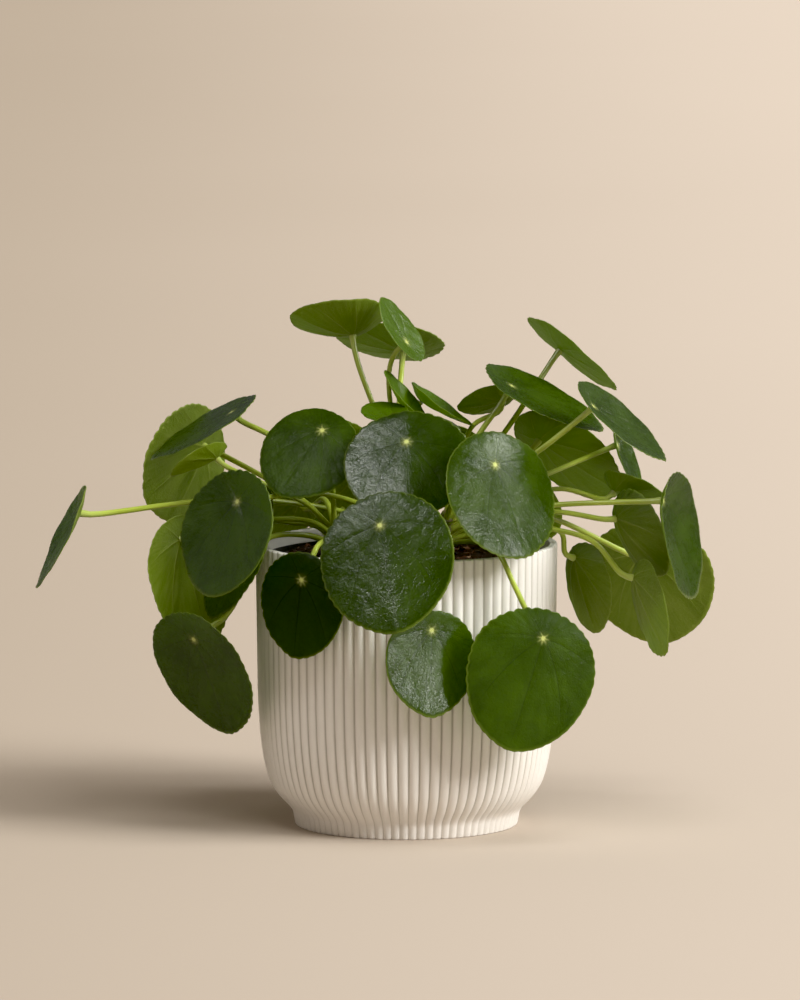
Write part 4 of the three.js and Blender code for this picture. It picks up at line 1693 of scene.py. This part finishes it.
        sheet = Sheet()
        shared = {"leaf_tone": self.tone, "leaf_young": leaf.youth_and_shade, "leaf_bloom": leaf.bloom}
        spread = np.stack([side, along, share], axis=-1).reshape(-1, 3)
        quads = grid_faces(0, self.rows, columns, True)
        upper = sheet.add_points(spots(top), blade=spread, upper=1.0, **shared)
        sheet.add_faces(upper + quads[:, ::-1])
        lower = sheet.add_points(spots(low), blade=spread, upper=0.0, **shared)
        sheet.add_faces(lower + quads)
        edge = spots((top + low) / 2, 1 + self.lip_overhang / self.size)[-columns:]
        rim = sheet.add_points(edge, blade=spread[-columns:], upper=0.7, **shared)
        last = (self.rows - 1) * columns
        sheet.add_faces(join_rings(upper + last, rim, columns))
        sheet.add_faces(join_rings(rim, lower + last, columns))
        well = float(self.lift(*np.zeros((4, 1)))[0])
        high, deep = self.thickness / 2, -self.thickness / 2 - self.joint_swell
        for lift, first, is_upper in ((high, upper, True), (deep, lower, False)):
            middle = at + out * (well + lift)
            values = {"blade": np.zeros((1, 3)), "upper": float(is_upper), **shared}
            sheet.add_cap(middle, first, columns, flip=not is_upper, **values)
        piece = sheet.build(f"blade_{self.number:02d}", finish)
        settle(piece, Slot.LEAF, f"leaf_{self.number:02d}")
        return piece


@dataclass(frozen=True)
class StemLine:
    """Where a short stem stands, leans to and ends."""

    base: tuple[float, float]
    head: tuple[float, float]
    top: float
    lowest: float
    radius: float
    soil_top: float = 162.5
    bare_tip: float = 4

    def point(self, height: float) -> np.ndarray:
        """Finds the middle of the stem.

        Args:
            height: where, above the pot's underside.

        Returns:
            The point.
        """
        share = (height - self.soil_top) / (self.top - self.soil_top)
        x, y = (a + (b - a) * share for a, b in zip(self.base, self.head))
        return np.array((x, y, height))

    def roots(self, count: int) -> list[np.ndarray]:
        """Where the stalks leave the stem, from the lowest to the highest."""
        return [self.point(h) for h in np.linspace(self.lowest, self.top - self.bare_tip, count)]


STEMS = {
    "stem_main": StemLine((-4, 8), (-7, 4), 214, 174, 6),
    "stem_left": StemLine((-42, -10), (-44, -12), 186, 171, 4.5),
    "stem_right": StemLine((20, -20), (24, -24), 196, 171, 5),
}


@dataclass(frozen=True)
class Bract:
    """A small pointed scale, cupped along its middle, at the foot of a stalk."""

    foot: np.ndarray
    aim: np.ndarray
    length: float
    width: float = 3.6
    thickness: float = 0.5
    cup: float = 0.35
    droop: float = 0.22
    steps: int = 9
    sides: int = 10

    def add_to(self, sheet: Sheet, finish: int) -> None:
        """Adds the scale to a sheet.

        Args:
            sheet: the mesh that it is added to.
            finish: which finish it takes.
        """
        aim = unit(self.aim)
        across = unit(np.cross(aim, (0.0, 0.0, 1.0)))
        over = np.cross(across, aim)
        share = np.linspace(0, 1, self.steps)[:, None]
        turn = round_angles(self.sides)[None]
        half = self.width / 2 * np.sin(math.pi * (0.2 + 0.79 * share)) ** 0.8
        side = half * np.cos(turn)
        rise = self.thickness / 2 * np.sin(turn) * (1.2 - share) + self.cup * np.cos(turn) ** 2 * half
        rise = rise - self.droop * self.length * share**2
        spine = self.foot + aim * (self.length * share)[..., None]
        rings = spine + side[..., None] * across + rise[..., None] * over
        values = {"stalk_along": share + 0 * turn, "stalk_turn": side / self.width}
        first = sheet.add_grid(rings, True, finish, **values)
        for row, flip in ((0, True), (self.steps - 1, False)):
            middle, values = rings[row].mean(axis=0), {"stalk_along": float(not flip), "stalk_turn": 0.3}
            sheet.add_cap(middle, first + row * self.sides, self.sides, finish, flip, **values)


@dataclass
class LeafyStem:
    """A short scarred stem with its leaf stalks, grown as one."""

    name: str
    line: StemLine
    leaves: tuple[Leaf, ...]
    root_depth: float = 9
    stem_sides: int = 28
    stem_step: float = 1.1
    stalk_radius: float = 1.65
    stalk_points: int = 34
    stalk_sides: int = 14
    stalk_widening: float = 1.1
    scar_pitch: float = 6.0
    scar_height: float = 0.3
    swelling: float = 0.35
    tip_round: float = 5.0
    foot_flare: tuple[float, float] = (0.55, 0.045)
    end_flare: tuple[float, float] = (0.30, 0.02)
    scale_lengths: tuple[float, float] = (7, 12)
    scale_climbs: tuple[float, float] = (0.7, 1.6)
    scale_swing: float = 0.9

    def stem_body(self, sheet: Sheet, finish: int) -> None:
        """Adds the stem: rings with swellings, scars and a rounded top.

        Args:
            sheet: the mesh that it is added to.
            finish: which finish it takes.
        """
        line = self.line
        low, high = line.soil_top - self.root_depth, line.top
        heights = np.append(np.arange(low, high, self.stem_step), high)
        sides, angles = self.stem_sides, round_angles(self.stem_sides)
        rings, scars = [], []
        for height in heights:
            beat = math.cos((height - low) / self.scar_pitch * TURN)
            scar = max(0.0, beat) ** 8
            taper = 1.0 - 0.12 * (height - low) / (high - low)
            dome = min(1.0, math.sqrt(max(0.03, (high - height) / self.tip_round)))
            radius = (line.radius * taper + self.swelling * beat + self.scar_height * scar) * dome
            around = radius + 0.3 * np.sin(3 * angles + height * 0.6) + 0.15 * np.sin(7 * angles - height)
            rings.append(line.point(height) + turned(around, angles, 0))
            scars.append(np.full(sides, scar))
        first = sheet.add_grid(np.array(rings), True, finish, scar=np.array(scars))
        last = first + (len(rings) - 1) * sides
        sheet.add_cap(line.point(high) + (0, 0, 0.5), last, sides, finish, scar=0.0)
        sheet.add_cap(line.point(low), first, sides, finish, True, scar=0.0)

    def bracts(self) -> list[Bract]:
        """Places a scale beside the foot of each stalk.

        Returns:
            The scales.
        """
        draw = np.random.default_rng(SEED + len(self.leaves))
        made = []
        for leaf, root in zip(self.leaves, self.line.roots(len(self.leaves))):
            away = unit((np.array(leaf.at, float) - root) * (1, 1, 0))
            away = away + np.cross((0.0, 0.0, 1.0), away) * draw.uniform(-self.scale_swing, self.scale_swing)
            foot = root + away * self.line.radius * 0.55 - (0, 0, 1.5)
            climb = draw.uniform(*self.scale_climbs)
            made.append(Bract(foot, away + (0, 0, climb), draw.uniform(*self.scale_lengths)))
        return made

    def stalk_lines(self) -> bpy.types.Object:
        """Runs the stalks' middle lines as one mesh of edges, with their widths and places along.

        Returns:
            A helper object.
        """
        count = self.stalk_points
        share = np.linspace(0, 1, count)
        foot, foot_reach = self.foot_flare
        end, end_reach = self.end_flare
        flare = 1 + foot * np.exp(-share / foot_reach) + end * np.exp(-(1 - share) / end_reach)
        points, edges, widths = [], [], []
        for leaf, root in zip(self.leaves, self.line.roots(len(self.leaves))):
            slim = 0.78 + 0.22 * min(1.0, leaf.long / 70)
            first = len(points)
            points += [tuple(point * MM) for point in leaf.stalk_line(root, count)]
            edges += [(first + k, first + k + 1) for k in range(count - 1)]
            widths.append(self.stalk_radius * slim * flare * (1 - 0.10 * np.sin(share * math.pi)) * MM)
        mesh = bpy.data.meshes.new("stalk_lines")
        mesh.from_pydata(points, edges, [])
        read = {"stalk_width": np.concatenate(widths), "stalk_along": np.tile(share, len(widths))}
        for name, value in read.items():
            mesh.attributes.new(name, "FLOAT", "POINT").data.foreach_set("value", value.astype(np.float32))
        return link_object("stalk_lines", mesh)

    def sweep_tree(self, finish: bpy.types.Material) -> bpy.types.GeometryNodeTree:
        """The tree that runs a round section along each line.

        Args:
            finish: the stalks' material.

        Returns:
            The tree, with the inputs Sides and Width Scale.
        """
        board, (lines, sides, scale) = open_tree("swept_stalks", {"Sides": "Int", "Width Scale": "Float"})
        width = board.add("GeometryNodeInputNamedAttribute", values={"Name": "stalk_width"}) * scale
        curve = board.add("GeometryNodeMeshToCurve", values={"Mesh": lines})
        curve = board.add("GeometryNodeSetCurveRadius", values={"Curve": curve, "Radius": width})
        circle = board.add("GeometryNodeCurvePrimitiveCircle", values={"Resolution": sides, "Radius": 1.0})
        turn = abs(board.add("GeometryNodeInputIndex") / sides - 0.5)
        ring = {"Geometry": circle, "Name": "stalk_turn", "Value": turn}
        circle = board.add("GeometryNodeStoreNamedAttribute", values=ring)
        radius = board.add("GeometryNodeInputRadius")
        swept = {"Curve": curve, "Profile Curve": circle, "Scale": radius, "Fill Caps": True}
        sweep = board.add("GeometryNodeCurveToMesh", values=swept)
        return close_tree(board, board.add("GeometryNodeSetShadeSmooth", values={0: sweep}), finish)

    def build(self, bark: bpy.types.Material, skin: bpy.types.Material) -> bpy.types.Object:
        """Makes the stem with its stalks.

        Args:
            bark: the stem's finish.
            skin: the stalks' finish.

        Returns:
            The piece.
        """
        values = {"Sides": self.stalk_sides, "Width Scale": self.stalk_widening}
        stalks = run_tree(self.stalk_lines(), self.sweep_tree(skin), "stalks", values)
        sheet = Sheet()
        self.stem_body(sheet, 0)
        for bract in self.bracts():
            bract.add_to(sheet, 1)
        body = sheet.build(self.name + "_grown", bark, skin)
        with bpy.context.temp_override(active_object=body, selected_editable_objects=[body, stalks]):
            bpy.ops.object.join()
        settle(body, Slot.STALK, self.name)
        return body


# Studio


@dataclass
class Studio:
    """The plain floor, the soft lights and the camera.

    A sun has its place, its angle in degrees and its strength. A panel has its name, place, width, height
    and watts.
    """

    floor_reach: float = 9000
    floor_points: int = 5
    aim: Point = (0, 0, 190)
    daylight: Colour = (1.0, 0.99, 0.97)
    window: tuple[Point, float, float] = ((2196, -1167, 1867), 26, 3.5)
    top_light: tuple[Point, float, float] = ((316, -1179, 2930), 34, 1.35)
    panels: tuple[tuple[str, Point, float, float, float], ...] = (
        ("left_sheen", (-845, -761, 1500), 320, 480, 23),
        ("right_sheen", (1340, 190, 1210), 620, 620, 34),
        ("low_sheen", (1480, -790, 430), 260, 260, 15),
        ("haze", (-1877, 98, 874), 1400, 1400, 3.5),
        ("wall_glow", (0, 3000, 1300), 7000, 2500, 12),
    )
    air: Colour = (1.0, 0.87, 0.73)
    air_strength: float = 0.33
    camera_place: Point = (-3.9, -5240, 849)
    camera_pitch: float = 7.07
    focal_pixels: float = 8650
    picture_height: float = 1000
    sensor: float = 36
    far_clip: float = 30000
    black_level: float = 0.006

    def floor(self, finish: bpy.types.Material) -> bpy.types.Object:
        """Makes the flat floor; it reaches past the picture's top edge on every side.

        Args:
            finish: its paper.

        Returns:
            The floor.
        """
        marks = np.linspace(-self.floor_reach, self.floor_reach, self.floor_points)
        sheet = Sheet()
        sheet.add_grid(np.array([[(x, y, 0) for x in marks] for y in marks]), False)
        made = sheet.build("studio_floor", finish)
        return made

    def hang(self, lamp: bpy.types.Light, place: Point, power: float) -> bpy.types.Object:
        """Hangs a lamp and turns it to the plant.

        Args:
            lamp: the lamp.
            place: where it hangs, in millimetres.
            power: watts, or for a sun watts a square metre.

        Returns:
            The lamp's object; the camera doesn't see it.
        """
        lamp.energy = power
        lamp.color = self.daylight
        made = bpy.data.objects.new(lamp.name, lamp)
        made.location = Vector(place) * MM
        made.rotation_euler = (Vector(self.aim) - Vector(place)).to_track_quat("-Z", "Y").to_euler()
        made.visible_camera = False
        bpy.context.scene.collection.objects.link(made)
        return made

    def lights(self) -> None:
        """The window, the top light, and the panels whose reflections make the leaves' sheen."""
        for name, (place, softness, strength) in (("window", self.window), ("top_light", self.top_light)):
            key = bpy.data.lights.new(name, "SUN")
            key.angle = math.radians(softness)
            self.hang(key, place, strength).visible_glossy = False
        for name, place, width, height, power in self.panels:
            panel = bpy.data.lights.new(name, "AREA")
            panel.shape = "RECTANGLE"
            panel.size, panel.size_y = width * MM, height * MM
            self.hang(panel, place, power).visible_diffuse = False
        world = bpy.data.worlds.new("studio_air")
        bpy.context.scene.world = world
        world.use_nodes = True
        background = world.node_tree.nodes["Background"]
        background.inputs["Color"].default_value = (*self.air, 1)
        background.inputs["Strength"].default_value = self.air_strength
        world.cycles_visibility.glossy = False

    def camera(self) -> None:
        """The camera at the photograph's viewing angle, and the picture's black level."""
        lens = bpy.data.cameras.new("photo_camera")
        lens.sensor_width = self.sensor
        lens.lens = self.focal_pixels / self.picture_height * self.sensor
        lens.clip_end = self.far_clip * MM
        made = bpy.data.objects.new("photo_camera", lens)
        made.location = Vector(self.camera_place) * MM
        made.rotation_euler = (math.radians(90 - self.camera_pitch), 0, 0)
        bpy.context.scene.collection.objects.link(made)
        bpy.context.scene.camera = made
        view = bpy.context.scene.view_settings
        view.view_transform = "Standard"
        view.use_curve_mapping = True
        view.curve_mapping.black_level = (self.black_level,) * 3
        view.curve_mapping.update()

    def build(self, finish: bpy.types.Material) -> None:
        """Makes the floor, lights and camera.

        Args:
            finish: the floor's paper.
        """
        self.floor(finish)
        self.lights()
        self.camera()
        LOG.info("studio: floor, soft lights and the camera")


def main() -> None:
    """Builds every piece and the studio around it."""
    logging.basicConfig(level=logging.INFO, format="%(name)s: %(message)s")
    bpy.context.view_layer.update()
    Studio().build(StudioPaper().build())
    Planter().build(MattCeramic().build())
    GrowingPot().build(GrowerPlastic().build())
    SoilBed().build(PottingSoil().build(), BarkFlakes().build())
    bark, skin, blade_skin = StemBark().build(), StalkSkin().build(), LeafSkin().build()
    number = 0
    for name, line in STEMS.items():
        LeafyStem(name, line, LEAVES[name]).build(bark, skin)
        for leaf in LEAVES[name]:
            number += 1
            Blade(leaf, number).build(blade_skin)


if __name__ == "__main__":
    main()
